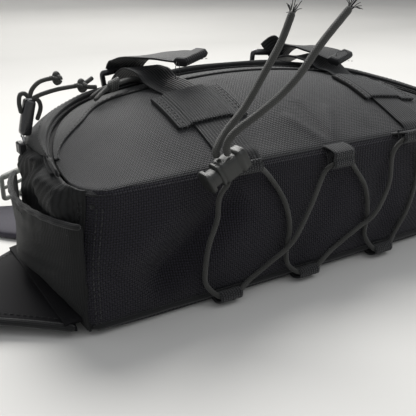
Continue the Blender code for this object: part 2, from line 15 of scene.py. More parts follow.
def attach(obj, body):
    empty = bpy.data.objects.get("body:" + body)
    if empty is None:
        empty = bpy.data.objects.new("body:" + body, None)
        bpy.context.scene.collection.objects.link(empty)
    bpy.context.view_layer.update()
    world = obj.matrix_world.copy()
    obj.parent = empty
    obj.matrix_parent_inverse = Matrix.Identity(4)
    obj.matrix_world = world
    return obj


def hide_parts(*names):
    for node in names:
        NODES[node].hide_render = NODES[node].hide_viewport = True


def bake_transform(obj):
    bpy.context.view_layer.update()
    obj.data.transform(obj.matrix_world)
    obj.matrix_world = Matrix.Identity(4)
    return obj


bl_info = {
    "name": "Lumbar Pack",
    "version": (1, 0, 0),
    "blender": (4, 5, 0),
    "location": "View3D > Sidebar > Pack",
    "description": "Builds a small lumbar pack with its lacing, straps and belt around CAD parts",
    "category": "Add Mesh",
}

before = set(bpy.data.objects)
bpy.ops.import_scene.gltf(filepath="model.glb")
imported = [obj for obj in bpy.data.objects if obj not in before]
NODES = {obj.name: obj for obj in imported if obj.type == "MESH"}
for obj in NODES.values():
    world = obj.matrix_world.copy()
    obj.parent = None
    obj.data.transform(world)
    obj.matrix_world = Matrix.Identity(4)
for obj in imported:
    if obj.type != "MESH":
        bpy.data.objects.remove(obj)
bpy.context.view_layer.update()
PI = math.pi

# ---------------------------------------------------------------- the pack's own sizes
HALF_WIDTH = 0.150
HALF_DEPTH = 0.060
SEAM_HEIGHT = 0.080
END_HEIGHT = 0.0886
CREST_HEIGHT = 0.1116
POCKET_BULGE = 0.004
BASE_BULGE = 0.005
POCKET_HALF = 0.148
POCKET_FAR = 0.0475
NEAR_CORNER = 0.018
FAR_CORNER = (0.060, 0.085)
CREST_RISE = 0.0045
RIM_RADIUS = 0.034
LOOP_Y = -0.0676
END_X = 0.1496
FOOT = 0.0040
UV_NAME = "cloth"


class PackSizes(bpy.types.PropertyGroup):
    """Sizes that a maker would change."""

    weave: FloatProperty(
        name="Weave",
        description="Side of one cell of the ballistic weave",
        default=0.00125,
        unit="LENGTH",
    )
    rib: FloatProperty(
        name="Rib", description="Spacing of the webbing's ribs", default=0.0021, unit="LENGTH"
    )
    strap_width: FloatProperty(
        name="Strap width",
        description="Width of the compression webbing",
        default=0.025,
        unit="LENGTH",
    )
    keeper_depth: FloatProperty(
        name="Keeper depth",
        description="Width of the webbing sewn over the straps",
        default=0.036,
        unit="LENGTH",
    )
    cord: FloatProperty(
        name="Lace", description="Diameter of the stretched elastic cord", default=0.003, unit="LENGTH"
    )
    free_cord: FloatProperty(
        name="Free cord", description="Diameter of the slack elastic cord", default=0.004, unit="LENGTH"
    )
    stitch: FloatProperty(name="Stitch", description="Length of one stitch", default=0.0024, unit="LENGTH")


class PackColours(bpy.types.PropertyGroup):
    """Colours of the finishes."""

    ballistic: FloatVectorProperty(
        name="Ballistic nylon",
        description="Front and far panels",
        subtype="COLOR",
        default=(0.0180, 0.0181, 0.0194),
    )
    # The base wall's nylon is the front's ballistic nylon with a purple tint of its own. Its lower value is
    # painted shade for the wall turned from the key light.
    base: FloatVectorProperty(
        name="Base nylon",
        description="The laced base wall",
        subtype="COLOR",
        default=(0.0086, 0.0078, 0.0120),
    )
    ripstop: FloatVectorProperty(
        name="Ripstop",
        description="Ends, gusset and side pockets",
        subtype="COLOR",
        default=(0.0080, 0.0084, 0.0086),
    )
    webbing: FloatVectorProperty(
        name="Webbing",
        description="Straps, keepers and loops",
        subtype="COLOR",
        default=(0.0125, 0.0128, 0.0135),
    )
    elastic: FloatVectorProperty(
        name="Elastic cord",
        description="Lace and its free ends",
        subtype="COLOR",
        default=(0.030, 0.030, 0.027),
    )
    moulded: FloatVectorProperty(
        name="Moulded nylon",
        description="Cord lock",
        subtype="COLOR",
        default=(0.019, 0.020, 0.018),
    )
    acetal: FloatVectorProperty(
        name="Acetal",
        description="Buckles and ladder locks",
        subtype="COLOR",
        default=(0.016, 0.016, 0.017),
    )
    pad: FloatVectorProperty(
        name="Padding",
        description="Wings, back and sling pad",
        subtype="COLOR",
        default=(0.0050, 0.0046, 0.0060),
    )


# ---------------------------------------------------------------- finishes
class Shader:
    """A material's node tree, with short calls for the nodes that the finishes share."""

    def __init__(self, name, roughness, sheen=0.0, specular=0.4, metallic=0.0, coat=0.0):
        self.material = bpy.data.materials.new(name)
        self.material.use_nodes = True
        self.tree = self.material.node_tree
        self.surface = self.tree.nodes["Principled BSDF"]
        for socket, value in (
            ("Roughness", roughness),
            ("Sheen Weight", sheen),
            ("Sheen Roughness", 0.45),
            ("Specular IOR Level", specular),
            ("Metallic", metallic),
            ("Coat Weight", coat),
        ):
            self.surface.inputs[socket].default_value = value

    def node(self, kind, **settings):
        made = self.tree.nodes.new(kind)
        for key, value in settings.items():
            setattr(made, key, value)
        return made

    def put(self, socket, value):
        if isinstance(value, bpy.types.NodeSocket):
            self.tree.links.new(value, socket)
        else:
            socket.default_value = value

    def maths(self, operation, *values):
        made = self.node("ShaderNodeMath", operation=operation)
        for socket, value in zip(made.inputs, values):
            self.put(socket, value)
        return made.outputs[0]

    def scaled(self, colour, factor):
        """The colour times a number."""
        made = self.node("ShaderNodeVectorMath", operation="SCALE")
        self.put(made.inputs[0], colour)
        self.put(made.inputs["Scale"], factor)
        return made.outputs[0]

    def along(self):
        """The piece's own U and V, in metres along the cloth."""
        split = self.node("ShaderNodeSeparateXYZ")
        self.put(split.inputs[0], self.node("ShaderNodeUVMap", uv_map=UV_NAME).outputs[0])
        return split.outputs[0], split.outputs[1]

    def noise(self, scale, detail=3.0, low=0.0, high=1.0):
        """Noise on object coordinates, stretched to run from low to high."""
        made = self.node("ShaderNodeTexNoise")
        self.put(made.inputs["Vector"], self.node("ShaderNodeTexCoord").outputs["Object"])
        made.inputs["Scale"].default_value = scale
        made.inputs["Detail"].default_value = detail
        spread = self.node("ShaderNodeMapRange")
        self.put(spread.inputs["Value"], made.outputs[0])
        for socket, value in zip(spread.inputs[1:5], (0.3, 0.7, low, high)):
            socket.default_value = value
        return spread.outputs[0]

    def wave(self, value, pitch, shift=0.0):
        """The size of a sine with one hump per pitch."""
        turned = self.maths("MULTIPLY_ADD", value, PI / pitch, shift)
        return self.maths("ABSOLUTE", self.maths("SINE", turned))

    def finish(self, colour, height, depth, strength=0.7):
        """Connect the colour and a height map that stands for that depth in metres."""
        bump = self.node("ShaderNodeBump")
        bump.inputs["Strength"].default_value = strength
        bump.inputs["Distance"].default_value = depth
        self.put(bump.inputs["Height"], height)
        self.put(self.surface.inputs["Base Color"], colour)
        self.put(self.surface.inputs["Normal"], bump.outputs[0])
        return self.material


def basket_cloth(name, colour, pitch, roughness=0.6, sheen=0.25, depth=0.6):
    """Plain weave: on a checker of cells, one thread or the other is on top, each a sine across its width."""
    s = Shader(name, roughness, sheen, 0.2)
    u, v = s.along()
    across, down = s.wave(u, pitch), s.wave(v, pitch)
    cells = [s.maths("FLOOR", s.maths("DIVIDE", value, pitch)) for value in (u, v)]
    odd = s.maths("FLOORED_MODULO", s.maths("ADD", *cells), 2.0)
    warp = s.maths("MULTIPLY", across, s.maths("MULTIPLY_ADD", down, 0.5, 0.5))
    weft = s.maths("MULTIPLY", down, s.maths("MULTIPLY_ADD", across, 0.5, 0.5))
    step = s.maths("MULTIPLY", odd, s.maths("SUBTRACT", weft, warp))
    height = s.maths("ADD", warp, step)
    # Painted shade: the colour follows the thread height and is darker between the threads. The cells where
    # the other thread is on top are lighter, and the noise adds slow random tone.
    thread = s.maths("MULTIPLY_ADD", height, 1.9, 0.0)
    thread = s.maths("ADD", thread, s.maths("MULTIPLY", odd, 0.30))
    shade_and_tone = s.maths("MULTIPLY", thread, s.noise(14.0, 4.0, 0.82, 1.15))
    return s.finish(s.scaled((*colour,), shade_and_tone), height, pitch * depth, 1.0)


def ribbed_cloth(name, colour, pitch, roughness=0.6, sheen=0.2, crossing=0.3, depth=0.30):
    """Ribs along V, a sine across U, each broken by the crossing thread, half a step on from its neighbour."""
    s = Shader(name, roughness, sheen, 0.2)
    u, v = s.along()
    rib = s.wave(u, pitch)
    row = s.maths("FLOOR", s.maths("DIVIDE", u, pitch))
    thread = s.wave(v, pitch * 0.62, s.maths("MULTIPLY", row, PI / 2))
    height = s.maths("MULTIPLY", rib, s.maths("MULTIPLY_ADD", thread, crossing, 1 - crossing))
    contrast = 0.6 + 1.2 * crossing
    shade = s.maths("MULTIPLY_ADD", height, contrast, 0.9 - 0.5 * contrast)
    shade = s.maths("MULTIPLY", shade, s.noise(22.0, 4.0, 0.80, 1.18))
    return s.finish(s.scaled((*colour,), shade), height, pitch * depth)


def braided_cord(name, colour, around):
    """Two sets of threads that wind opposite ways: the higher of two diagonal sines."""
    s = Shader(name, 0.6, 0.15)
    u, v = s.along()
    turn, climb = s.maths("MULTIPLY", u, 6 * PI / around), s.maths("MULTIPLY", v, PI / 0.0011)
    right = s.maths("ABSOLUTE", s.maths("SINE", s.maths("ADD", turn, climb)))
    left = s.maths("ABSOLUTE", s.maths("SINE", s.maths("SUBTRACT", turn, climb)))
    height = s.maths("MINIMUM", right, left)
    shade = s.maths("MULTIPLY", s.maths("MULTIPLY_ADD", height, 0.9, 0.55), s.noise(60.0, 2.0, 0.85, 1.2))
    return s.finish(s.scaled((*colour,), shade), height, 0.00035)


def smooth_cloth(name, colour, roughness=0.65, sheen=0.3):
    """Close-woven lining cloth: a fine grain and slow colour changes."""
    s = Shader(name, roughness, sheen, 0.15)
    u, v = s.along()
    grain = s.maths("MULTIPLY", s.wave(u, 0.0006), s.wave(v, 0.0006))
    shade = s.maths("MULTIPLY", s.maths("MULTIPLY_ADD", grain, 0.3, 0.8), s.noise(18.0, 4.0, 0.8, 1.2))
    return s.finish(s.scaled((*colour,), shade), grain, 0.00012)


def knitted_mesh(name, colour):
    """Spacer mesh: rows of round dimples, where two sines meet."""
    s = Shader(name, 0.75, 0.2, 0.3)
    u, v = s.along()
    dimple = s.maths("MULTIPLY", s.wave(u, 0.0024), s.wave(v, 0.0024))
    height = s.maths("SUBTRACT", 1.0, dimple)
    shade = s.maths("MULTIPLY_ADD", height, 0.8, 0.45)
    return s.finish(s.scaled((*colour,), shade), height, 0.0006)


def moulding(name, colour, roughness, grain=0.00004, coat=0.0):
    """Moulded plastic: a fine grain, and handling marks that change its gloss."""
    s = Shader(name, roughness, 0.0, 0.5, coat=coat)
    marks = s.noise(90.0, 5.0, 0.88, 1.14)
    s.put(s.surface.inputs["Roughness"], s.maths("MULTIPLY", marks, roughness))
    return s.finish(s.scaled((*colour,), s.noise(30.0, 3.0, 0.85, 1.15)), s.noise(2600.0, 2.0), grain, 0.5)


def make_finishes():
    """Every material, by the name of its finish."""
    c, z = bpy.context.scene.pack_colours, bpy.context.scene.pack_sizes
    return {
        "front": basket_cloth("ballistic_front", c.ballistic, z.weave * 0.85, 0.6, 0.10, 0.32),
        # Painted shade: the base wall takes a darker copy of the ballistic nylon.
        "base": basket_cloth("shaded_ballistic_base", c.base, z.weave * 1.15, 0.62, 0.06),
        "ripstop": ribbed_cloth("ripstop_ends", c.ripstop, 0.0014, 0.62, 0.04, 0.5, 0.22),
        "lining": smooth_cloth("smooth_gusset", [k * 1.5 for k in c.ripstop], 0.6, 0.15),
        "webbing": ribbed_cloth("ribbed_webbing", c.webbing, z.rib, 0.55, 0.06, 0.25),
        "keeper": ribbed_cloth("woven_keeper", [k * 2.0 for k in c.webbing], 0.0017, 0.6, 0.12, 0.85, 0.9),
        "binding": ribbed_cloth("binding_tape", [k * 0.6 for k in c.webbing], 0.0009, 0.65, 0.2, 0.4),
        "lace": braided_cord("elastic_lace", c.elastic, PI * z.cord),
        "cord": braided_cord("elastic_free_cord", c.elastic, PI * z.free_cord),
        "pull": braided_cord("pull_cord", [k * 1.1 for k in c.elastic], 0.0085),
        "thread": smooth_cloth("sewing_thread", [k * 0.9 for k in c.webbing], 0.5, 0.2),
        "pad": smooth_cloth("padded_wing", c.pad, 0.7, 0.02),
        "mesh": knitted_mesh("spacer_mesh_back", c.pad),
        "grey_pad": smooth_cloth("sling_padding", [k * 9.0 for k in c.pad], 0.7, 0.2),
        "moulded": moulding("moulded_cord_lock", c.moulded, 0.42, 0.00006),
        "light_moulded": moulding("light_moulded_ring", [k * 8.0 for k in c.moulded], 0.45),
        "acetal": moulding("acetal_black", c.acetal, 0.27, 0.00002, 0.3),
        "zip": moulding("zip_coil", [k * 0.6 for k in c.acetal], 0.4),
        "metal": moulding("pull_wire", (0.42, 0.42, 0.43), 0.3),
    }


FINISHES = {}


# ---------------------------------------------------------------- mesh helpers
def unit(vectors):
    """Vectors divided by their lengths."""
    return vectors / np.maximum(np.linalg.norm(vectors, axis=-1, keepdims=True), 1e-12)


def reach(points, axis):
    """Mean arc length along one direction of a grid, from 0."""
    steps = np.linalg.norm(np.diff(points, axis=axis), axis=-1)
    other = 1 - axis
    return np.concatenate([[0.0], np.cumsum(steps.mean(axis=other))])


def make_mesh(name, verts, faces, uvs=None):
    """A mesh from whole arrays: verts (n, 3), one or several arrays of faces, and a UV per vertex."""
    mesh = bpy.data.meshes.new(name)
    groups = [np.asarray(f, int) for f in (faces if isinstance(faces, list) else [faces])]
    loops = np.concatenate([f.ravel() for f in groups])
    sizes = np.concatenate([np.full(len(f), f.shape[1]) for f in groups])
    mesh.vertices.add(len(verts))
    mesh.vertices.foreach_set("co", np.asarray(verts, np.float32).ravel())
    mesh.loops.add(len(loops))
    mesh.loops.foreach_set("vertex_index", loops.astype(np.int32))
    mesh.polygons.add(len(sizes))
    mesh.polygons.foreach_set("loop_start", np.concatenate([[0], np.cumsum(sizes)[:-1]]).astype(np.int32))
    mesh.polygons.foreach_set("loop_total", sizes.astype(np.int32))
    mesh.polygons.foreach_set("use_smooth", np.ones(len(sizes), bool))
    mesh.update(calc_edges=True)
    layer = mesh.uv_layers.new(name=UV_NAME)
    if uvs is not None:
        layer.data.foreach_set("uv", np.asarray(uvs, np.float32)[loops].ravel())
    mesh.validate()
    obj = bpy.data.objects.new(name, mesh)
    bpy.context.scene.collection.objects.link(obj)
    return obj


def grid_faces(rows, columns, closed=False):
    """Quads between neighbouring rows and columns, looped in the columns when closed."""
    i = np.arange(rows - 1)[:, None]
    j = np.arange(columns if closed else columns - 1)[None, :]
    k = (j + 1) % columns
    corners = [i * columns + j, (i + 1) * columns + j, (i + 1) * columns + k, i * columns + k]
    return np.stack(corners, axis=-1).reshape(-1, 4)


def panel(name, points, wall=0.0012):
    """An open surface on a grid of points (n, m, 3), given a wall on its inner side."""
    rows, columns = points.shape[:2]
    along, across = reach(points, 0), reach(points, 1)
    uvs = np.stack(np.broadcast_arrays(along[:, None], across[None, :]), axis=-1).reshape(-1, 2)
    obj = make_mesh(name, points.reshape(-1, 3), grid_faces(rows, columns), uvs)
    solid = obj.modifiers.new("wall", "SOLIDIFY")
    solid.thickness = wall
    solid.offset = -1.0
    return obj


def carried(name, path, section, across, closed=False):
    """A closed profile carried along a path: point = path + a * side + b * up, with up square to the path."""
    path = np.asarray(path, float)
    n = len(path)
    ahead = np.roll(path, -1, 0) - np.roll(path, 1, 0) if closed else np.gradient(path, axis=0)
    ahead = unit(ahead)
    side = np.broadcast_to(np.asarray(across, float), (n, 3))
    side = unit(side - (side * ahead).sum(1, keepdims=True) * ahead)
    up = np.cross(side, ahead)
    section = np.asarray(section, float)
    if section.ndim == 2:
        section = np.broadcast_to(section, (n, *section.shape))
    m = section.shape[1]
    points = path[:, None] + section[..., :1] * side[:, None] + section[..., 1:] * up[:, None]
    if closed:
        points = np.concatenate([points, points[:1]])
    rows = len(points)
    ring = np.concatenate([points, points[:, :1]], axis=1)
    along, around = reach(ring, 0), reach(ring, 1)
    uvs = np.stack(np.broadcast_arrays(around[None, :m], along[:, None]), axis=-1).reshape(-1, 2)
    faces = [grid_faces(rows, m, closed=True)]
    if not closed:
        faces += [np.arange(m)[None, :], (rows - 1) * m + np.arange(m)[None, ::-1]]
    obj = make_mesh(name, points.reshape(-1, 3), faces, uvs)
    if closed:
        weld(obj)
    return obj


def weld(obj, distance=0.00001):
    """Merge doubled points, as at poles and closed seams, and turn the faces outwards."""
    bm = bmesh.new()
    bm.from_mesh(obj.data)
    bmesh.ops.remove_doubles(bm, verts=list(bm.verts), dist=distance)
    bmesh.ops.recalc_face_normals(bm, faces=list(bm.faces))
    bm.to_mesh(obj.data)
    bm.free()
    return obj


def join(name, *objs):
    """One object from several, its meshes put together."""
    bm = bmesh.new()
    for obj in objs:
        bm.from_mesh(obj.data)
    mesh = bpy.data.meshes.new(name)
    bm.to_mesh(mesh)
    bm.free()
    for obj in objs:
        bpy.data.objects.remove(obj)
    made = bpy.data.objects.new(name, mesh)
    bpy.context.scene.collection.objects.link(made)
    return made


def smooth_route(points, count):
    """Points evenly spaced along a Catmull-Rom curve through the given ones."""
    p = np.array(points, float)
    p = np.vstack([2 * p[0] - p[1], p, 2 * p[-1] - p[-2]])
    t = np.linspace(0, 1, 24, endpoint=False)[None, :, None]
    a, b, c, d = (p[k : len(p) - 3 + k][:, None] for k in range(4))
    square, cube = 2 * a - 5 * b + 4 * c - d, 3 * b - a - 3 * c + d
    line = 0.5 * (2 * b + (c - a) * t + square * t**2 + cube * t**3)
    line = np.vstack([line.reshape(-1, 3), p[-2:-1]])
    run = np.concatenate([[0], np.cumsum(np.linalg.norm(np.diff(line, axis=0), axis=1))])
    at = np.linspace(0, run[-1], count)
    return np.stack([np.interp(at, run, line[:, k]) for k in range(3)], axis=1)


def disc(radius, count=12):
    """A round profile."""
    t = np.linspace(0, 2 * PI, count, endpoint=False)
    return np.stack([radius * np.cos(t), radius * np.sin(t)], axis=1)


def squarish(a, b, power=0.45, count=24):
    """A superellipse profile: each of cosine and sine raised to a power, keeping its sign."""
    t = np.linspace(0, 2 * PI, count, endpoint=False)
    c, s = np.cos(t), np.sin(t)
    return np.stack([a * np.sign(c) * np.abs(c) ** power, b * np.sign(s) * np.abs(s) ** power], axis=1)


def flat_profile(width, thick, count=14):
    """Webbing's profile: a flat strip whose edges are half rounds, counter-clockwise from the right."""
    r = thick / 2
    t = np.linspace(-PI / 2, PI / 2, 5)
    right = np.stack([width / 2 - r + r * np.cos(t), r * np.sin(t)], axis=1)
    x = np.linspace(width / 2 - r, -width / 2 + r, count)[1:-1]
    top = np.stack([x, np.full_like(x, r)], axis=1)
    return np.concatenate([right, top, -right, -top])


def taper(count, ends=3, least=0.55):
    """1 along a path, falling at both ends as a round nose does."""
    k = np.arange(count)
    near = np.minimum(np.minimum(k, count - 1 - k) / ends, 1.0)
    return least + (1 - least) * np.sqrt(np.maximum(0, 1 - (1 - near) ** 2))


def rope(name, route, radius, count, across, sides=12, smooth=True):
    """A round cord along a route, its ends a little drawn in."""
    path = smooth_route(route, count) if smooth else np.asarray(route, float)
    section = disc(1.0, sides)[None] * (radius * taper(len(path)))[:, None, None]
    return carried(name, path, section, across)


def bump_line(p, q, start, end, width, height):
    """A soft ridge along a line from start to end: a bell across it, faded at its ends."""
    a, d = np.array(start), np.array(end) - np.array(start)
    s = ((p - a[0]) * d[0] + (q - a[1]) * d[1]) / (d @ d)
    near = np.clip(s, 0, 1)
    gap = np.hypot(p - a[0] - near * d[0], q - a[1] - near * d[1])
    fade = np.clip(1.15 - np.abs(2 * s - 1) ** 4, 0, 1)
    return height * np.exp(-((gap / width) ** 2)) * fade


def step(value):
    """A smooth step from 0 to 1."""
    s = np.clip(value, 0, 1)
    return s * s * (3 - 2 * s)


def give(obj, finish, body, slot, *nodes):
    """Its material, the body it rides on, and the CAD nodes it stands for, which it hides; the slot argument
    is not used.
    """
    obj.data.materials.clear()
    obj.data.materials.append(FINISHES[finish])
    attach(obj, body)
    if nodes:
        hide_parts(*nodes)
    return obj


def carry_over(node, finish):
    """Keep a CAD node and give it a procedural finish."""
    mesh = NODES[node].data
    mesh.materials.clear()
    mesh.materials.append(FINISHES[finish])


def stitches(name, path, normal, body, length=None, width=0.0006, gap=0.45):
    """A row of sewn stitches: a small raised bar repeated along a path, flat to its surface."""
    path = np.asarray(path, float)
    length = length or bpy.context.scene.pack_sizes.stitch
    run = np.concatenate([[0], np.cumsum(np.linalg.norm(np.diff(path, axis=0), axis=1))])
    at = np.arange(length, run[-1] - length, length * (1 + gap))
    where = np.stack([np.interp(at, run, path[:, k]) for k in range(3)], axis=1)
    ahead = unit(np.stack([np.interp(at + 1e-4, run, path[:, k]) for k in range(3)], axis=1) - where)
    normal = np.asarray(normal, float)
    if normal.ndim == 2:
        normal = np.stack([np.interp(at, run, normal[:, k]) for k in range(3)], axis=1)
    up = unit(np.broadcast_to(normal, where.shape))
    side = unit(np.cross(up, ahead))
    shape = np.array([(-0.5, 0, 0), (-0.32, -0.5, 0), (-0.32, 0, 0.5), (-0.32, 0.5, 0)])
    shape = np.concatenate([shape, shape[::-1] * (-1, 1, 1)]) * (length, width, width)
    verts = where[:, None] + shape[None, :, :1] * ahead[:, None] + shape[None, :, 1:2] * side[:, None]
    verts = verts + (shape[None, :, 2:] - 0.0001) * up[:, None]
    faces = np.array([(0, 2, 1), (0, 3, 2), (1, 2, 5), (1, 5, 6), (2, 3, 4), (2, 4, 5), (7, 6, 5), (7, 5, 4)])
    faces = np.concatenate([faces, [(0, 1, 3), (1, 6, 3), (3, 6, 4), (4, 6, 7)]])
    count = len(where)
    every = (faces[None] + 8 * np.arange(count)[:, None, None]).reshape(-1, 3)
    obj = make_mesh(name, verts.reshape(-1, 3), every, np.zeros((8 * count, 2)))
    return give(weld(obj, 1e-7), "thread", body, "webbing")


# ---------------------------------------------------------------- surfaces of the pack
def fullness(x):
    """1 in the middle of the pack and 0 at its ends: one minus the square of x over the half width."""
    return np.clip(1 - (np.asarray(x, float) / HALF_WIDTH) ** 2, 0, 1)


def front_height(x, y):
    """The front pocket: a quarter sine from the seam up to the zip line, and a half sine of extra fullness."""
    q = fullness(x)
    zip_height = END_HEIGHT + (CREST_HEIGHT - END_HEIGHT) * q
    s = np.clip((np.asarray(y, float) + HALF_DEPTH) / (HALF_DEPTH + POCKET_FAR), 0, 1)
    rise = (zip_height - SEAM_HEIGHT) * np.sin(PI * s / 2)
    return SEAM_HEIGHT + rise + POCKET_BULGE * np.sin(PI * s) * q


def near_edge(x):
    """Y of the pocket's edge at the base seam: straight, then a quarter circle into each end."""
    past = np.clip(np.abs(x) - (POCKET_HALF - NEAR_CORNER), 0, NEAR_CORNER)
    return -HALF_DEPTH + NEAR_CORNER - np.sqrt(NEAR_CORNER**2 - past**2)


def far_edge(x):
    """Y of the pocket's zip line: straight, then a quarter ellipse into each end."""
    a, b = FAR_CORNER
    past = np.clip(np.abs(x) - (POCKET_HALF - a), 0, a)
    return POCKET_FAR - b * (1 - np.sqrt(1 - (past / a) ** 2))


def base_out(x, z):
    """How far the base wall bellies out: a half sine up the wall, times the fullness."""
    return BASE_BULGE * fullness(x) * np.sin(PI * np.clip(z / SEAM_HEIGHT, 0, 1))


def wave_field(x, y, seed, size, height):
    """Slow unevenness: five sines of random direction and phase, added."""
    draw = np.random.default_rng(seed)
    total = np.zeros(np.broadcast(x, y).shape)
    turns, phases, stretches = draw.uniform(0, PI, 5), draw.uniform(0, 2 * PI, 5), draw.uniform(0.6, 1.6, 5)
    for turn, phase, stretch in zip(turns, phases, stretches):
        total += np.sin(2 * PI * (x * math.cos(turn) + y * math.sin(turn)) / (size * stretch) + phase)
    return height * total / 5


def front_detail(x, y):
    """Creases of the front pocket: a fan from the middle loop, dents by the keepers, and slow unevenness."""
    z = wave_field(x, y, 3, 0.085, 0.0008)
    for end, tall in (((-0.006, -0.030), 0.0011), ((0.012, -0.020), -0.0010), ((0.033, -0.026), 0.0012)):
        z += bump_line(x, y, (0.013, -0.060), end, 0.0042, tall)
    z += bump_line(x, y, (-0.030, -0.052), (-0.022, 0.020), 0.012, -0.0012)
    z += bump_line(x, y, (0.050, -0.050), (0.064, 0.000), 0.008, 0.0008)
    z += bump_line(x, y, (-0.090, -0.058), (-0.120, -0.010), 0.014, -0.0007)
    return z


def top_of(x, y):
    """The front pocket as it is sewn: its height with creases, drawn down at the seams."""
    near, far = y - near_edge(x), far_edge(x) - y
    dip = 0.0022 * np.exp(-((near / 0.0022) ** 2)) + 0.0010 * np.exp(-((far / 0.0020) ** 2))
    calm = step(near / 0.012) * step(far / 0.012)
    return front_height(x, y) + front_detail(x, y) * calm - dip


def corner_turn(z):
    """How far up the wall its vertical corners round off, from 0 at the floor to 1 at the seam."""
    return step((z - 0.030) / 0.050)


def rim(u):
    """The main zip's path: along both ends, quarter circles at the far corners, and along the far wall."""
    half, far = HALF_WIDTH - 0.0005, HALF_DEPTH - 0.001
    leg, arc = far - RIM_RADIUS, RIM_RADIUS * PI / 2
    run = 2 * (leg + arc + half - RIM_RADIUS)
    s = np.asarray(u, float) * run
    side = np.where(s < run / 2, -1.0, 1.0)
    s = np.minimum(s, run - s)
    t = np.clip((s - leg) / RIM_RADIUS, 0, PI / 2)
    x = half - RIM_RADIUS + RIM_RADIUS * np.cos(t) - np.clip(s - leg - arc, 0, None)
    y = np.minimum(s, leg) + RIM_RADIUS * np.sin(t)
    return np.stack([side * x, y, 0.0855 + 0.0075 * fullness(x)], axis=-1)


def zip_line(u, out=0.0, up=0.0):
    """The front zip's path, shifted outwards across it and up."""
    x = -POCKET_HALF * np.cos(PI * np.asarray(u, float))
    line = np.stack([x, far_edge(x), front_height(x, far_edge(x))], axis=-1)
    ahead = unit(np.gradient(line[:, :2], axis=0))
    normal = np.stack([-ahead[:, 1], ahead[:, 0]], axis=1)
    line[:, :2] += normal * np.reshape(out, (-1, 1))
    line[:, 2] += up
    return line


# ---------------------------------------------------------------- front pocket
def make_front_pocket():
    """Panel: a grid from the base seam to the zip line. Hem: a strip beside the zip, a little above it."""
    u, v = np.linspace(0, 1, 220)[:, None], np.linspace(0, 1, 110)[None, :]
    x = -POCKET_HALF * np.cos(PI * u) + 0 * v
    y = near_edge(x) + (far_edge(x) - near_edge(x)) * v
    front = panel("front_panel", np.stack([x, y, top_of(x, y)], axis=-1))
    give(front, "front", "pack", "ballistic_nylon", "front_pocket")
    declare_sheet(front)

    along = np.linspace(0.050, 0.950, 240)
    width = 0.14 + 0.86 * step((np.minimum(along, 1 - along) - 0.050) / 0.120)
    rows = []
    for back in np.linspace(0.0155, 0.0006, 15):
        line = zip_line(along, -back * width)
        lift = 0.0009 * step((0.0160 - back) / 0.0012) + 0.0005 * np.exp(-(((back - 0.0145) / 0.0012) ** 2))
        line[:, 2] = top_of(line[:, 0], line[:, 1]) + lift + 0.0009 * np.exp(-((back / 0.0022) ** 2))
        rows.append(line)
    hem = panel("front_hem", np.stack(rows, axis=1), 0.0008)
    give(hem, "lining", "pack", "ballistic_nylon")
    for name, back in (("a", 0.0132), ("b", 0.0022)):
        line = zip_line(along, -back * width)
        line[:, 2] = top_of(line[:, 0], line[:, 1]) + 0.0012
        stitches(f"hem_stitches_{name}", line, (0, 0, 1), "pack")

    u = np.linspace(0.02, 0.98, 220)
    near, far = zip_line(u, 0.0002, -0.0016), zip_line(u, 0.0052, -0.0004)
    tape = panel("front_tape", np.stack([near, (near + far) / 2, far], axis=1), 0.0006)
    give(tape, "binding", "pack", "zip_coil", "front_zip_tape")
    coil = zip_line(u, 0.0022, -0.0022)
    size = 0.0008 + 0.00020 * np.sin(np.arange(220) * PI / 2)
    teeth = carried("front_coil", coil, disc(1.0, 8)[None] * size[:, None, None], (0, 0, 1))
    give(teeth, "zip", "pack", "zip_coil")


def make_gusset():
    """Top gusset: between the two zip lines, a hump whose crest lies nearer the front zip, with slow sag."""
    u, v = np.linspace(0.004, 0.996, 260), np.linspace(0, 1, 30)[None, :]
    inner, outer = zip_line(u, 0.0030, 0.0002)[:, None], rim(u)[:, None]
    mid = inner + (outer - inner) * v[..., None]
    drop = inner[..., 2] + (outer[..., 2] - inner[..., 2]) * v**2.2
    hump = (CREST_RISE + 0.0012) * np.sin(PI * v**0.62)
    lip = 0.0012 * np.exp(-(((v - 0.03) / 0.05) ** 2))
    sag = wave_field(mid[..., 0], mid[..., 1], 8, 0.045, 0.0008) * np.sin(PI * v)
    mid[..., 2] = drop + hump + lip + sag
    made = panel("top_gusset", mid, 0.0012)
    give(made, "lining", "pack", "ripstop_nylon", "gusset")
    declare_sheet(made)
    lip = zip_line(u, 0.0031, 0.0008)
    give(rope("gusset_lip", lip, 0.0010, 220, (0, 0, 1), 8), "binding", "pack", "ripstop_nylon")
    line = mid[:, 10]
    stitches("gusset_stitches", line + (0, 0, 0.0001), (0, 0, 1), "pack")

    path = (rim(np.linspace(0.012, 0.988, 420)) - (0, 0, 0.0040)) * (0.990, 0.985, 1)
    out = unit(path * (1, 1, 0) * (1.0, 1.6, 0))
    rows = [path + (0, 0, drop) + out * bow for drop, bow in ((0.0030, -0.0004), (0, 0.0), (-0.0050, -0.0002))]
    tape = panel("main_tape", np.stack(rows[::-1], axis=1), 0.0007)
    give(tape, "binding", "pack", "zip_coil", "main_zip_tape")
    size = 0.0011 + 0.0003 * np.sin(np.arange(420) * PI / 2)
    teeth = carried("main_coil", path + out * 0.0004, disc(1.0, 8)[None] * size[:, None, None], (0, 0, 1))
    give(teeth, "zip", "pack", "zip_coil")


# ---------------------------------------------------------------- walls
def wall_dent(x, z):
    """Soft shapes of the base wall: one long diagonal dent, a puff above it, and slow unevenness."""
    dent = bump_line(x, z, (-0.116, 0.018), (-0.058, 0.066), 0.012, -0.0095)
    dent += bump_line(x, z, (-0.135, 0.036), (-0.092, 0.070), 0.014, 0.0030)
    dent += bump_line(x, z, (-0.022, 0.010), (0.015, 0.066), 0.013, -0.0030)
    dent += bump_line(x, z, (0.060, 0.008), (0.048, 0.066), 0.011, -0.0030)
    return dent + wave_field(x, z, 5, 0.07, 0.0006)


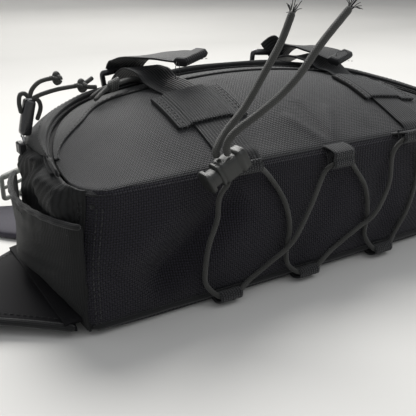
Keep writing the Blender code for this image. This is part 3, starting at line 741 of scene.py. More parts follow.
def base_half(z):
    """Half the base wall's length at a height: a little narrower towards the seam."""
    return 0.1495 - 0.0060 * corner_turn(z)


def corner_back(x, z):
    """How far the wall's corner turns back towards the seam, where it follows the pocket's rounded corner."""
    return (near_edge(x) + HALF_DEPTH) * corner_turn(z)


def base_y(x, z):
    """Y of the base wall: bellied and dented, turned back a little at its ends, tucked in at its seams."""
    calm = np.clip(np.sin(PI * np.clip(z / SEAM_HEIGHT, 0, 1)), 0, 1) ** 0.5
    inset = base_half(z) - np.abs(x)
    turned = 0.0016 * step((0.0050 - inset) / 0.0050)
    tuck = 0.0016 * step((z - 0.0772) / 0.0030) + 0.0030 * step((0.0100 - z) / 0.0080)
    flat = -HALF_DEPTH - base_out(x, z) - wall_dent(x, z) * calm * step(inset / 0.012)
    return flat + turned + tuck + corner_back(x, z)


def make_base_wall():
    """Base wall on a grid over X and Z, a binding along its foot, and stitches by its end seams."""
    z = np.linspace(0.0030, 0.0802, 90)[None, :]
    x = base_half(z) * np.sin(PI / 2 * np.linspace(-1, 1, 220))[:, None]
    grid = np.stack(np.broadcast_arrays(x, base_y(x, z), z), axis=-1)
    wall = panel("base_panel", grid, 0.0015)
    give(wall, "base", "pack", "ballistic_nylon", "base_wall")
    declare_sheet(wall)
    low = np.linspace(0.006, 0.076, 60)
    for side in (-1, 1):
        for k, inset in enumerate((0.0040, 0.0065)):
            across = side * (base_half(low) - inset)
            line = np.stack([across, base_y(across, low) - 0.0002, low], axis=1)
            stitches(f"end_seam_{'left' if side < 0 else 'right'}_{k}", line, (0, -1, 0), "pack")
    along = np.linspace(-0.1470, 0.1470, 120)
    foot = np.stack([along, base_y(along, 0.0070) + 0.0006, np.full_like(along, 0.0052)], axis=1)
    binding = rope("foot_binding", foot, 0.0021, 160, (0, 0, 1), 10, smooth=False)
    give(binding, "binding", "pack", "ballistic_nylon")


def end_plan(s, z):
    """Plan of an end wall: a quarter ellipse from the base wall, a straight, and a quarter circle."""
    far = 0.0110 + 0.0220 * corner_turn(z)
    reach_x, reach_y = END_X - base_half(z), 0.0030 + 0.0120 * corner_turn(z)
    near_turn = np.clip(s / 0.12, 0, 1) * PI / 2
    far_turn = np.clip((s - 0.88) / 0.12, 0, 1) * PI / 2
    x = END_X - reach_x * (1 - np.sin(near_turn)) - far * (1 - np.cos(far_turn))
    start = -HALF_DEPTH + 0.0008 + corner_back(base_half(z), z)
    y = start + reach_y * (1 - np.cos(near_turn)) + far * np.sin(far_turn)
    return x, y + (0.0590 - far - start - reach_y) * np.clip((s - 0.12) / 0.76, 0, 1)


def end_top(y):
    """Top of an end wall: the pocket's edge, then the main zip."""
    edge = front_height(POCKET_HALF, y)
    return edge + (0.0858 - edge) * step((y + 0.004) / 0.020) - 0.0006


def end_folds(y, h):
    """Folds of the stretched end: a puff over the pocket's mouth, a long diagonal ridge, and finer gathers."""
    total = bump_line(y, h, (-0.046, 0.070), (-0.016, 0.066), 0.014, 0.0075)
    total += bump_line(y, h, (-0.034, 0.082), (0.030, 0.050), 0.0065, 0.0042)
    total += bump_line(y, h, (-0.004, 0.082), (0.030, 0.066), 0.0080, 0.0050)
    total += bump_line(y, h, (-0.014, 0.082), (0.020, 0.062), 0.0035, -0.0018)
    total += bump_line(y, h, (-0.052, 0.050), (-0.005, 0.030), 0.0100, -0.0016)
    total += 0.0003 * np.sin(2 * PI * (y + 0.8 * h) / 0.0052) * step((h - 0.045) / 0.02)
    return total + wave_field(y, h, 12, 0.030, 0.0008)


def make_end(side):
    """End wall: its plan carried up, bellied by two sines, with folds."""
    name = "left" if side < 0 else "right"
    s, v = np.linspace(0, 1, 120)[:, None], np.linspace(0, 1, 70)[None, :]
    if side < 0:
        s = s[::-1]
    x, y = end_plan(s, FOOT + SEAM_HEIGHT * v)
    z = FOOT + (end_top(y) - FOOT) * v
    belly = np.sin(PI * np.clip((y + HALF_DEPTH) / (2 * HALF_DEPTH), 0, 1)) * np.sin(PI * v)
    fade = step(s / 0.06) * step((1 - s) / 0.12) * step((1 - v) / 0.04)
    x = x + 0.0045 * belly + end_folds(y, SEAM_HEIGHT * v) * fade
    wall = panel(f"end_panel_{name}", np.stack(np.broadcast_arrays(side * x, y, z), axis=-1), 0.0013)
    give(wall, "ripstop", "pack", "ripstop_nylon", f"end_wall_{name}")
    declare_sheet(wall)
    for k, back in enumerate((0.0025, 0.0048)):
        low = np.linspace(0.064, 0.078, 14)
        line_x, line_y = end_plan(np.full_like(low, back / 0.12), low)
        line = np.stack([side * (line_x + 0.0008), line_y, low], axis=1)
        stitches(f"corner_stitches_{name}_{k}", line, (side, 0, 0), "pack")


POCKET_FOOT = 0.0060


def pocket_y(s):
    """Y along a side pocket, from its near seam to its far one."""
    return -0.0585 + 0.1165 * s


def pocket_hem(s):
    """Height of a side pocket's gathered hem, from the near seam to the far one."""
    return 0.0640 - 0.0050 * s - 0.0010 * np.sin(PI * s)


def pocket_out(s, v):
    """How far a side pocket stands out: a sine between its seams, a step up from its foot, and gathers."""
    puff = 0.0142 * np.sin(PI * s) ** 0.7 * (0.15 + 0.85 * step(v / 0.34))
    gathers = 0.0003 * np.sin(2 * PI * s * 9 + 1.2 * np.sin(5 * s)) * v**6
    gathers = gathers + 0.0004 * np.sin(2 * PI * (5.5 * v + s)) * (1 - s)
    sag = 0.0016 * np.sin(2 * PI * (1.6 * s + 0.9 * v)) * np.sin(PI * v)
    return puff + (gathers + sag) * np.sin(PI * s)


def make_side_pocket(side):
    """Side pocket: a puffed sheet with an elastic hem, and stitches beneath the hem."""
    name = "left" if side < 0 else "right"
    s, v = np.linspace(0, 1, 130)[:, None], np.linspace(0, 1, 50)[None, :]
    if side < 0:
        s = s[::-1]
    y = pocket_y(s)
    z = POCKET_FOOT + (pocket_hem(s) - POCKET_FOOT) * v
    x = 0.1490 + 0.0012 * step(s / 0.05) + pocket_out(s, v)
    made = panel(f"side_pocket_cloth_{name}", np.stack(np.broadcast_arrays(side * x, y, z), axis=-1), 0.0012)
    give(made, "ripstop", "pack", "ripstop_nylon", f"side_pocket_{name}")
    declare_sheet(made)
    s = np.linspace(0.0, 1.0, 110)
    hem = np.stack([side * (END_X + pocket_out(s, 1.0)), pocket_y(s), pocket_hem(s)], axis=1)
    give(rope(f"pocket_elastic_{name}", hem, 0.0017, 150, (0, 0, 1), 10), "binding", "pack", "ripstop_nylon")
    low = hem + (side * 0.0006, 0, -0.0052)
    stitches(f"pocket_stitches_{name}", low[4:-4], (side, 0, 0), "pack")


def make_back_pad():
    """Back panel: a rounded rectangle carried round its edge as a half circle, its faces slightly crowned."""
    outline = squarish(0.1493, 0.0588, 0.16, 96)
    rings = [(0.02, 0.0004), (0.5, 0.0003), (0.9, 0.0), (0.975, 0.0), (0.992, 0.0014), (1.0, 0.0045)]
    rings += [(1.0, 0.0075), (0.992, 0.0106), (0.975, 0.0120), (0.9, 0.0122), (0.5, 0.0128), (0.02, 0.0128)]
    scale, z = np.array(rings).T
    flat = outline[None] * scale[:, None, None]
    points = np.concatenate([flat, np.broadcast_to(z[:, None, None], (*flat.shape[:2], 1))], axis=2)
    pad = puck("back_pad", points)
    give(pad, "mesh", "pack", "spacer_mesh", "back_panel")


def puck(name, points):
    """A closed form from rings (n, m, 3) stacked from below, shut by a flat face at each end."""
    rows, columns = points.shape[:2]
    uvs = points[..., :2].reshape(-1, 2)
    ends = [np.arange(columns)[None, ::-1], (rows - 1) * columns + np.arange(columns)[None]]
    faces = [grid_faces(rows, columns, closed=True)[:, ::-1], *ends]
    return weld(make_mesh(name, points.reshape(-1, 3), faces, uvs))


def flap_back(x):
    """How far the main zip's rounded corner lies in front of the far wall."""
    past = np.clip(np.abs(x) - (HALF_WIDTH - RIM_RADIUS), 0, RIM_RADIUS)
    return RIM_RADIUS - np.sqrt(RIM_RADIUS**2 - past**2)


def make_far_flap():
    """Far wall: a flat panel bellied by a sine each way, with a bound edge."""
    x, z = np.linspace(0.1378, -0.1378, 120)[:, None], np.linspace(0.0136, 0.0795, 40)[None, :]
    belly = np.sin(PI * (x / 0.2756 + 0.5)) ** 0.5 * np.sin(PI * (z - 0.0136) / 0.0659) ** 0.6
    y = 0.0590 + 0.0035 * belly + wave_field(x, z, 21, 0.06, 0.0006) * belly
    y = y - flap_back(x) * corner_turn(z)
    made = panel("far_panel", np.stack(np.broadcast_arrays(x, y, z), axis=-1), 0.0014)
    give(made, "front", "flap", "ballistic_nylon", "far_flap")
    declare_sheet(made)
    corners = [(-0.1372, 0, 0.016), (-0.1372, 0, 0.072), (-0.130, 0, 0.0790)]
    corners += [(-x, y, z) for x, y, z in reversed(corners)]
    edge = smooth_route(corners, 200)
    edge[:, 1] = 0.0592 - flap_back(edge[:, 0]) * corner_turn(edge[:, 2])
    binding = rope("far_binding", edge, 0.0015, 200, (0, 1, 0), 8, smooth=False)
    give(binding, "binding", "flap", "ballistic_nylon")


def declare_sheet(obj):
    """Read a panel's points and its UVs, its own arc lengths, into arrays; nothing more is done with them."""
    mesh = obj.data
    co = np.zeros(3 * len(mesh.vertices))
    mesh.vertices.foreach_get("co", co)
    uv = np.zeros(2 * len(mesh.loops))
    mesh.uv_layers[UV_NAME].data.foreach_get("uv", uv)


# ---------------------------------------------------------------- compression straps
STRAPS = {
    "left": {
        "x": -0.0530,
        "keeper": -0.0520,
        "arch": (
            (-0.0570, 0.0300, 0.1125), (-0.0600, 0.0390, 0.1180), (-0.0630, 0.0520, 0.1184),
            (-0.0650, 0.0640, 0.1108), (-0.0655, 0.0722, 0.1010),
        ),
        "lock": (-0.0655, 0.0740, 0.1060),
        "tilt": -8,
        "tail": (
            (-0.0655, 0.0735, 0.1110), (-0.0640, 0.0690, 0.1185), (-0.0610, 0.0560, 0.1245),
            (-0.0510, 0.0360, 0.1275), (-0.0400, 0.0140, 0.1280),
        ),
        "across": (1.0, -0.40, 0.10),
        "thread": (
            (-0.0560, 0.0120, 0.1270), (-0.0590, 0.0080, 0.1240), (-0.0600, 0.0060, 0.1180),
            (-0.0560, 0.0080, 0.1200), (-0.0550, 0.0110, 0.1265),
        ),
    },
    "right": {
        "x": 0.0880,
        "keeper": 0.0930,
        "arch": (
            (0.0860, 0.0320, 0.1098), (0.0800, 0.0420, 0.1145), (0.0720, 0.0540, 0.1150),
            (0.0620, 0.0650, 0.1096), (0.0580, 0.0722, 0.1020),
        ),
        "lock": (0.0580, 0.0740, 0.1080),
        "tilt": 4,
        "tail": (
            (0.0600, 0.0735, 0.1130), (0.0700, 0.0690, 0.1205), (0.0770, 0.0560, 0.1218),
            (0.0860, 0.0400, 0.1195), (0.0940, 0.0230, 0.1150),
        ),
        "across": (1.0, -0.40, -0.10),
        "thread": (
            (0.0830, 0.0210, 0.1180), (0.0800, 0.0180, 0.1215), (0.0850, 0.0150, 0.1230),
            (0.0900, 0.0170, 0.1200), (0.0880, 0.0200, 0.1175),
        ),
    },
}
KEEPER_Y = -0.0080
KEEPER_HALF = 0.0240
HEM_HALF = 0.0027


def webbing(name, path, width, thick, across, drape=None):
    """Webbing carried along a path: a flat round-edged profile, bent across its width by drape(side, run)."""
    path = np.asarray(path, float)
    section = np.repeat(flat_profile(width, thick)[None], len(path), axis=0)
    if drape is not None:
        section[..., 1] += drape(section[..., 0])
    return carried(name, path, section, across)


def make_strap(side, facts):
    """Strap: over the pocket it lies on the cloth across its whole width, and then arches free to its lock."""
    z = bpy.context.scene.pack_sizes
    x = facts["x"]
    held_y = np.linspace(-0.0600, 0.0180, 14)
    held = np.stack([np.full(14, x), held_y, top_of(np.full(14, x), held_y) + 0.0012], axis=1)
    held[0, 2] -= 0.0010
    path = smooth_route([*held, *facts["arch"]], 110)
    lying = step((0.034 - path[:, 1]) / 0.012)[:, None]
    px, py = path[:, 0][:, None], path[:, 1][:, None]

    def drape(offset):
        return lying * (top_of(px + offset, py) - top_of(px, py))

    strap = webbing(f"strap_web_{side}", path, z.strap_width, 0.0014, (1, 0, 0), drape)
    give(strap, "webbing", "pack", "webbing", f"strap_{side}")

    u, v = np.linspace(-1, 1, 90)[:, None], np.linspace(-0.5, 0.5, 50)[None, :]
    kx, ky = facts["keeper"] + u * KEEPER_HALF + 0 * v, KEEPER_Y + v * z.keeper_depth + 0 * u
    over = step((z.strap_width / 2 + 0.0040 - np.abs(kx - x)) / 0.0040)
    up = 0.0024 + 0.0016 * over + 0.0004 * np.exp(-(((1 - np.abs(u)) / 0.05) ** 2)) + 0 * v
    edge = 0.0005 * np.exp(-(((0.5 - np.abs(v)) / 0.02) ** 2))
    keeper = panel(f"keeper_web_{side}", np.stack([kx, ky, top_of(kx, ky) + up - edge], axis=-1), 0.0021)
    give(keeper, "keeper", "pack", "webbing", f"keeper_{side}")
    bevel = keeper.modifiers.new("edge", "BEVEL")
    bevel.width = 0.0004
    bevel.segments = 2
    for k, shift in enumerate([end * (KEEPER_HALF - back) for end in (-1, 1) for back in (0.0022, 0.0048)]):
        y = np.linspace(KEEPER_Y - z.keeper_depth / 2 + 0.002, KEEPER_Y + z.keeper_depth / 2 - 0.002, 40)
        px = np.full(40, facts["keeper"] + shift)
        line = np.stack([px, y, top_of(px, y) + 0.0025], axis=1)
        stitches(f"keeper_stitches_{side}_{k}", line, (0, 0, 1), "pack", width=0.0008)

    path = smooth_route(facts["tail"], 80)
    run = np.linspace(0, 1, 80)
    hem = 1 + 2.4 * step((run - 0.86) / 0.02)
    hem = hem * np.sqrt(np.clip(1 - np.clip((run - 0.975) / 0.026, 0, 1) ** 2, 0.05, 1))
    section = flat_profile(z.strap_width, 0.0016)[None] * np.stack([np.ones(80), hem], axis=1)[:, None]
    tail = carried(f"tail_web_{side}", path, section, facts["across"])
    give(tail, "webbing", "pack", "webbing", f"strap_tail_{side}")
    flat = unit(np.array(facts["across"]))
    for k, at in enumerate((69, 75)):
        line = path[at] + flat * np.linspace(-0.0115, 0.0115, 12)[:, None]
        up = np.cross(flat, unit(path[at] - path[at - 2]))
        stitches(f"tail_stitches_{side}_{k}", line + up * HEM_HALF, up, "pack", 0.0018)
    thread = rope(f"loose_thread_{side}", facts["thread"], 0.00022, 40, (0, 1, 0), 6)
    give(thread, "thread", "pack", "webbing")


def make_ladder(name, centre, right, up, finish, body, node, slot, bar=0.0016, top=0.0024):
    """Ladder lock: a round bar carried round a rounded rectangle, a middle bar, and a thicker upper bar."""
    right, up = unit(np.array(right, float)), unit(np.array(up, float))
    out = np.cross(right, up)
    outline = squarish(0.0140, 0.0094, 0.22, 64)
    path = np.asarray(centre) + outline[:, :1] * right + outline[:, 1:] * up
    ring = carried(f"{name}_ring", path, squarish(bar, bar * 1.1, 0.7, 12), out, closed=True)
    pieces = [ring]
    for height, size in ((-0.0002, bar * 0.9), (0.0088, top)):
        ends = np.linspace(-0.0138, 0.0138, 20)[:, None] * right + np.asarray(centre) + height * up
        pieces.append(rope(f"{name}_bar", ends, size, 20, out, 16, smooth=False))
    return give(join(name, *pieces), finish, body, slot, node)


def make_locks():
    """A ladder lock at each strap, turned by its tilt about Y."""
    for side, facts in STRAPS.items():
        tilt = math.radians(facts["tilt"])
        right, up = (math.cos(tilt), 0, -math.sin(tilt)), (math.sin(tilt), 0, math.cos(tilt))
        body = node = f"strap_lock_{side}"
        make_ladder(f"ladder_lock_{side}", facts["lock"], right, up, "acetal", body, node, "acetal")


# ---------------------------------------------------------------- lacing
TOP_LOOPS = ((-0.0560, 0.0815), (0.0120, 0.0735), (0.0700, 0.0805))
BASE_LOOPS = (-0.0670, -0.0095, 0.0540)
BASE_LOOP_HEIGHT = 0.0060
CORD_LIFT = 0.0023
OVER = 0.0036
LOCK_PLACE = np.array((-0.0735, -0.0735, 0.0862))
LOCK_TILT = math.radians(26.6)
LOCK_AXIS = np.array((math.cos(LOCK_TILT), 0, math.sin(LOCK_TILT)))
LOCK_UP = np.array((-math.sin(LOCK_TILT), 0, math.cos(LOCK_TILT)))
FREE_ENDS = {
    "lace_end_1": (
        (-0.0788, -0.0715, 0.0915), (-0.0780, -0.0700, 0.0960), (-0.0713, -0.0680, 0.1035),
        (-0.0597, -0.0680, 0.1150), (-0.0483, -0.0680, 0.1310), (-0.0382, -0.0680, 0.1460),
        (-0.0313, -0.0680, 0.1610),
    ),
    "lace_end_2": (
        (-0.0752, -0.0762, 0.0935), (-0.0760, -0.0765, 0.0990), (-0.0724, -0.0780, 0.1056),
        (-0.0602, -0.0820, 0.1149), (-0.0494, -0.0845, 0.1232), (-0.0400, -0.0870, 0.1331),
        (-0.0285, -0.0886, 0.1476), (-0.0126, -0.0902, 0.1642),
    ),
}


def on_base(x, z, lift=0.0):
    """A cord's centre on the base wall."""
    return x, float(-HALF_DEPTH - base_out(x, z)) - CORD_LIFT - lift, z


def lace_route():
    """The lace's centreline: out of the lock, down and up through every loop in turn, and back."""

    def through(x, z, towards, way=1):
        return [(x + way * shift, LOOP_Y, z + towards * abs(shift) * 0.12) for shift in (-0.0068, 0.0, 0.0068)]

    top = [through(x, z, -1, way) for (x, z), way in zip(TOP_LOOPS, (-1, 1, -1))]
    low = [through(x, BASE_LOOP_HEIGHT, 1, way) for x, way in zip(BASE_LOOPS, (1, -1, 1))]
    route = [(-0.0712, -0.0722, 0.0778), on_base(-0.0725, 0.0660), on_base(-0.0745, 0.0540)]
    route += [on_base(-0.0800, 0.0400), on_base(-0.0818, 0.0270), on_base(-0.0808, 0.0150), *low[0]]
    route += [on_base(-0.0500, 0.0100), on_base(-0.0376, 0.0198, OVER / 2), on_base(-0.0245, 0.0310, OVER)]
    route += [on_base(-0.0110, 0.0500, OVER / 2), on_base(0.0010, 0.0670), *top[1], on_base(0.0260, 0.0660)]
    route += [on_base(0.0350, 0.0520), on_base(0.0385, 0.0340), on_base(0.0395, 0.0180), *low[2]]
    route += [on_base(0.0690, 0.0130), on_base(0.0770, 0.0290), on_base(0.0815, 0.0480)]
    route += [on_base(0.0820, 0.0660), *top[2], on_base(0.0590, 0.0700), on_base(0.0540, 0.0520, OVER / 2)]
    route += [on_base(0.0420, 0.0350, OVER), on_base(0.0300, 0.0265, OVER / 2), on_base(0.0120, 0.0140)]
    route += [*low[1], on_base(-0.0230, 0.0130), on_base(-0.0258, 0.0250), on_base(-0.0250, 0.0400)]
    return [*route, on_base(-0.0290, 0.0560), on_base(-0.0380, 0.0710), *top[0], (-0.0655, -0.0700, 0.0790)]


def make_lace():
    """Lace: a round cord along its route. Loops: webbing from the seam, round the cord and back behind it."""
    z = bpy.context.scene.pack_sizes
    cord = rope("lace_cord", lace_route(), z.cord / 2, 560, (0, 1, 0), 12)
    give(cord, "lace", "pack", "elastic_cord", "lace")
    seam = 0.0812
    for k, (x, height) in enumerate(TOP_LOOPS, 1):
        turn = np.linspace(-0.3 * PI, 0.8 * PI, 14)
        eye = [(x, LOOP_Y - 0.0029 * math.cos(t), height - 0.0029 * math.sin(t)) for t in turn]
        lead = [(x, -0.0580, seam), (x, -0.0610, seam + 0.0008)]
        lead += [(x, LOOP_Y - 0.0016, max(seam - 0.0010, height + 0.0040))]
        back = [(x, -0.0640, height + 0.0015), (x, -0.0625, max(0.0785, height + 0.004))]
        path = smooth_route([*lead, *eye, *back], 70)
        loop = webbing(f"lace_loop_top_{k}", path, 0.0160, 0.0013, (1, 0, 0))
        give(loop, "keeper", "pack", "webbing", f"top_loop_{k}")
    for k, x in enumerate(BASE_LOOPS, 1):
        turn, height = np.linspace(-0.3 * PI, 0.8 * PI, 12), BASE_LOOP_HEIGHT
        eye = [(x, LOOP_Y - 0.0027 * math.cos(t), height + 0.0027 * math.sin(t)) for t in turn]
        path = smooth_route([(x, -0.0590, 0.0022), (x, -0.0640, 0.0016), *eye, (x, -0.0620, 0.0060)], 50)
        loop = webbing(f"lace_loop_base_{k}", path, 0.0150, 0.0012, (1, 0, 0))
        give(loop, "keeper", "pack", "webbing", f"base_loop_{k}")


def make_free_ends():
    """Free ends: a round cord each, cut bare, with a spray of fine fibres at the tip."""
    z = bpy.context.scene.pack_sizes
    draw = np.random.default_rng(11)
    for k, (node, route) in enumerate(FREE_ENDS.items(), 1):
        path = smooth_route(route, 120)
        cord = rope(f"free_cord_{k}", path, z.free_cord / 2, 120, (0, 1, 0), 14, smooth=False)
        give(cord, "cord", "pack", "elastic_cord", node)
        ahead = unit(path[-1] - path[-4])
        hairs = []
        for _ in range(16):
            aside = unit(draw.normal(size=3))
            reach_out = draw.uniform(0.0025, 0.0060)
            start = path[-2] + aside * 0.0012
            bend = start + ahead * reach_out * 0.6 + aside * 0.0010
            tip = bend + ahead * reach_out * 0.4 + aside * draw.uniform(0.001, 0.004)
            hairs.append(rope("hair", (start, bend, tip), 0.00022, 10, (0, 1, 0.1), 5))
        tuft = give(join(f"frayed_tip_{k}", *hairs), "thread", "pack", "elastic_cord")


def make_cord_lock():
    """Barrel: a superellipse carried along its axis, with grooves. Plunger: the same, with a wider end."""
    s = np.linspace(-0.0078, 0.0118, 70)
    size = np.sqrt(np.clip(1 - (np.clip(np.abs(s - 0.0020) - 0.0086, 0, None) / 0.0016) ** 2, 0.15, 1))
    size = size - 0.10 * np.exp(-(((s + 0.0052) / 0.0006) ** 2))
    size = size - 0.08 * np.exp(-(((s - 0.0050) / 0.0007) ** 2))
    size = size * (1 + 0.07 * np.exp(-(((s - 0.0072) / 0.0012) ** 2)))
    section = squarish(0.0055, 0.0062, 0.45, 40)[None] * size[:, None, None]
    path = LOCK_PLACE + s[:, None] * LOCK_AXIS
    give(carried("lock_barrel", path, section, (0, 1, 0)), "moulded", "pack", "moulded_nylon", "cord_lock")
    ring = squarish(0.0040, 0.0022, 0.8, 24)
    for k, (along, node_y) in enumerate(((-0.0022, 0.0020), (0.0008, -0.0026))):
        hole = LOCK_PLACE + LOCK_AXIS * along + LOCK_UP * 0.0053 + (0, node_y, 0)
        rim_path = hole + ring[:, :1] * 0.62 * LOCK_AXIS + ring[:, 1:] * np.array((0, 1.0, 0))
        collar = carried(f"lock_mouth_{k}", rim_path, disc(0.0006, 8), LOCK_UP, closed=True)
        give(collar, "moulded", "pack", "moulded_nylon")
    s = np.linspace(-0.0152, -0.0030, 56)
    wide = 0.0047 + 0.0017 * step((-0.0117 - s) / 0.0007)
    nose = np.sqrt(np.clip(1 - (np.clip(-0.0138 - s, 0, None) / 0.0017) ** 2, 0.06, 1))
    section = squarish(1.0, 0.92, 0.62, 32)[None] * (wide * nose)[:, None, None]
    section = np.minimum(section, 0.0064)
    path = LOCK_PLACE + s[:, None] * LOCK_AXIS
    thumb = carried("lock_thumb", path, section, (0, 1, 0))
    give(thumb, "moulded", "plunger", "moulded_nylon", "lock_plunger")


# ---------------------------------------------------------------- zip pulls
def knot(name, centre, size, radius):
    """An overhand knot: the trefoil curve, two turns round with three crossings."""
    t = np.linspace(0, 2 * PI, 60, endpoint=False)
    x, y = np.sin(t) + 2 * np.sin(2 * t), np.cos(t) - 2 * np.cos(2 * t)
    curve = np.stack([x, y, -np.sin(3 * t) * 1.3], axis=1)
    turn = np.array(Matrix.Rotation(0.7, 3, "X") @ Matrix.Rotation(0.4, 3, "Z"))
    path = np.asarray(centre) + (curve @ turn.T) * size
    return carried(name, path, disc(radius, 10), (0.3, 0.2, 1.0), closed=True)


def make_front_pull():
    """Pull: two cords side by side, wrapped by a helix into a barrel, with cut stubs."""
    lead = [(-0.0655, 0.0480, 0.1116), (-0.0730, 0.0440, 0.1130)]
    lead = np.array([*lead, (-0.0830, 0.0395, 0.1125), (-0.0900, 0.0368, 0.1112)])
    pieces = []
    for shift in (-0.0015, 0.0015):
        pieces.append(rope("strand", lead + (shift * 0.4, shift, 0.0), 0.0014, 40, (0, 0, 1)))
    t = np.linspace(0, 1, 120)
    core = lead[2] + (lead[3] - lead[2]) * (0.1 + 1.05 * t)[:, None]
    side, up = np.array((0.45, 0.89, 0)), np.array((0, 0, 1.0))
    wrap = core + 0.0028 * (np.cos(9 * PI * t)[:, None] * side + np.sin(9 * PI * t)[:, None] * up)
    pieces.append(rope("wrap", wrap, 0.0012, 120, (0.9, -0.4, 0.1), smooth=False))
    for shift in (-0.0018, 0.0018):
        bend, tip = (-0.006, -0.002 + shift, -0.0012), (-0.0150, -0.0065 + shift * 2, -0.0052)
        stub = (lead[3], lead[3] + bend, lead[3] + tip)
        pieces.append(rope("stub", stub, 0.0014, 16, (0, 0, 1)))
    give(join("front_pull_cords", *pieces), "pull", "front_pull", "elastic_cord", "front_zip_pull")
    carry_over("front_zip_slider", "zip")


def make_main_pull():
    """Pull: an upright sleeve on a wire, with cord loops at its sides and two knotted cords."""
    x, y = -0.1460, 0.0246
    route = ((x - 0.0040, y, 0.0915), (x - 0.0020, y, 0.1000), (x + 0.0010, y, 0.1115))
    path = smooth_route(route, 40)
    section = squarish(0.0033, 0.0042, 0.6, 24)[None] * taper(40, 4, 0.7)[:, None, None]
    sleeve = carried("pull_sleeve", path, section, (1, 0, 0))
    give(sleeve, "acetal", "main_pull", "acetal", "main_zip_pull")
    t = np.linspace(0, 2 * PI, 40, endpoint=False)
    wire = np.stack([x - 0.0055 + 0.0001 * t, y + 0.0022 * np.cos(t), 0.0900 + 0.0028 * np.sin(t)], axis=1)
    low = carried("pull_wire_low", wire, disc(0.0005, 8), (1, 0, 0), closed=True)
    give(low, "metal", "main_pull", "acetal")
    wire = np.stack([x + 0.0012 + 0.0018 * np.cos(t), y + 0.0026 * np.sin(t), 0.1120 + 0 * t], axis=1)
    top = carried("pull_wire_top", wire, disc(0.0005, 8), (0, 0, 1), closed=True)
    give(top, "metal", "main_pull", "acetal")
    loops = (
        (
            (x + 0.001, y, 0.1120), (x - 0.0015, y, 0.1150), (x - 0.0042, y, 0.1145),
            (x - 0.0052, y, 0.1100), (x - 0.0046, y, 0.1040),
        ),
        (
            (x + 0.001, y - 0.001, 0.1115), (x + 0.0052, y - 0.001, 0.1110), (x + 0.0068, y, 0.1060),
            (x + 0.0040, y, 0.0990),
        ),
        (
            (x + 0.001, y, 0.1125), (x + 0.0030, y, 0.1170), (x + 0.0070, y, 0.1205),
            (x + 0.0115, y, 0.1218), (x + 0.0165, y, 0.1222),
        ),
        (
            (x + 0.001, y - 0.002, 0.1118), (x + 0.0080, y - 0.002, 0.1142),
            (x + 0.0180, y - 0.002, 0.1160), (x + 0.0300, y - 0.002, 0.1168),
        ),
        ((x + 0.0315, y - 0.002, 0.1166), (x + 0.0360, y - 0.001, 0.1184), (x + 0.0398, y, 0.1202)),
        ((x + 0.0315, y - 0.002, 0.1161), (x + 0.0365, y - 0.003, 0.1154), (x + 0.0406, y - 0.004, 0.1152)),
    )
    pieces = [rope("strand", route, 0.0013, 40, (0, 1, 0)) for route in loops]
    pieces.append(knot("knot_a", (x + 0.0175, y, 0.1220), 0.00100, 0.0014))
    pieces.append(knot("knot_b", (x + 0.0315, y - 0.002, 0.1166), 0.00105, 0.0014))
    give(join("main_pull_cords", *pieces), "pull", "main_pull", "elastic_cord", "main_pull_cord")
    carry_over("main_zip_slider", "zip")


# ---------------------------------------------------------------- belt and sling
WING_ROOT = 0.1550
WING_LENGTH = 0.058
BAR_X, BAR_Z = 0.3231, 0.0065
LOOP_RADIUS = 0.0045


def wing_half(t):
    """Half the wing's width, falling by a power from its root to the belt webbing."""
    return 0.0195 + 0.0370 * np.clip(1 - t, 0, 1) ** 1.3


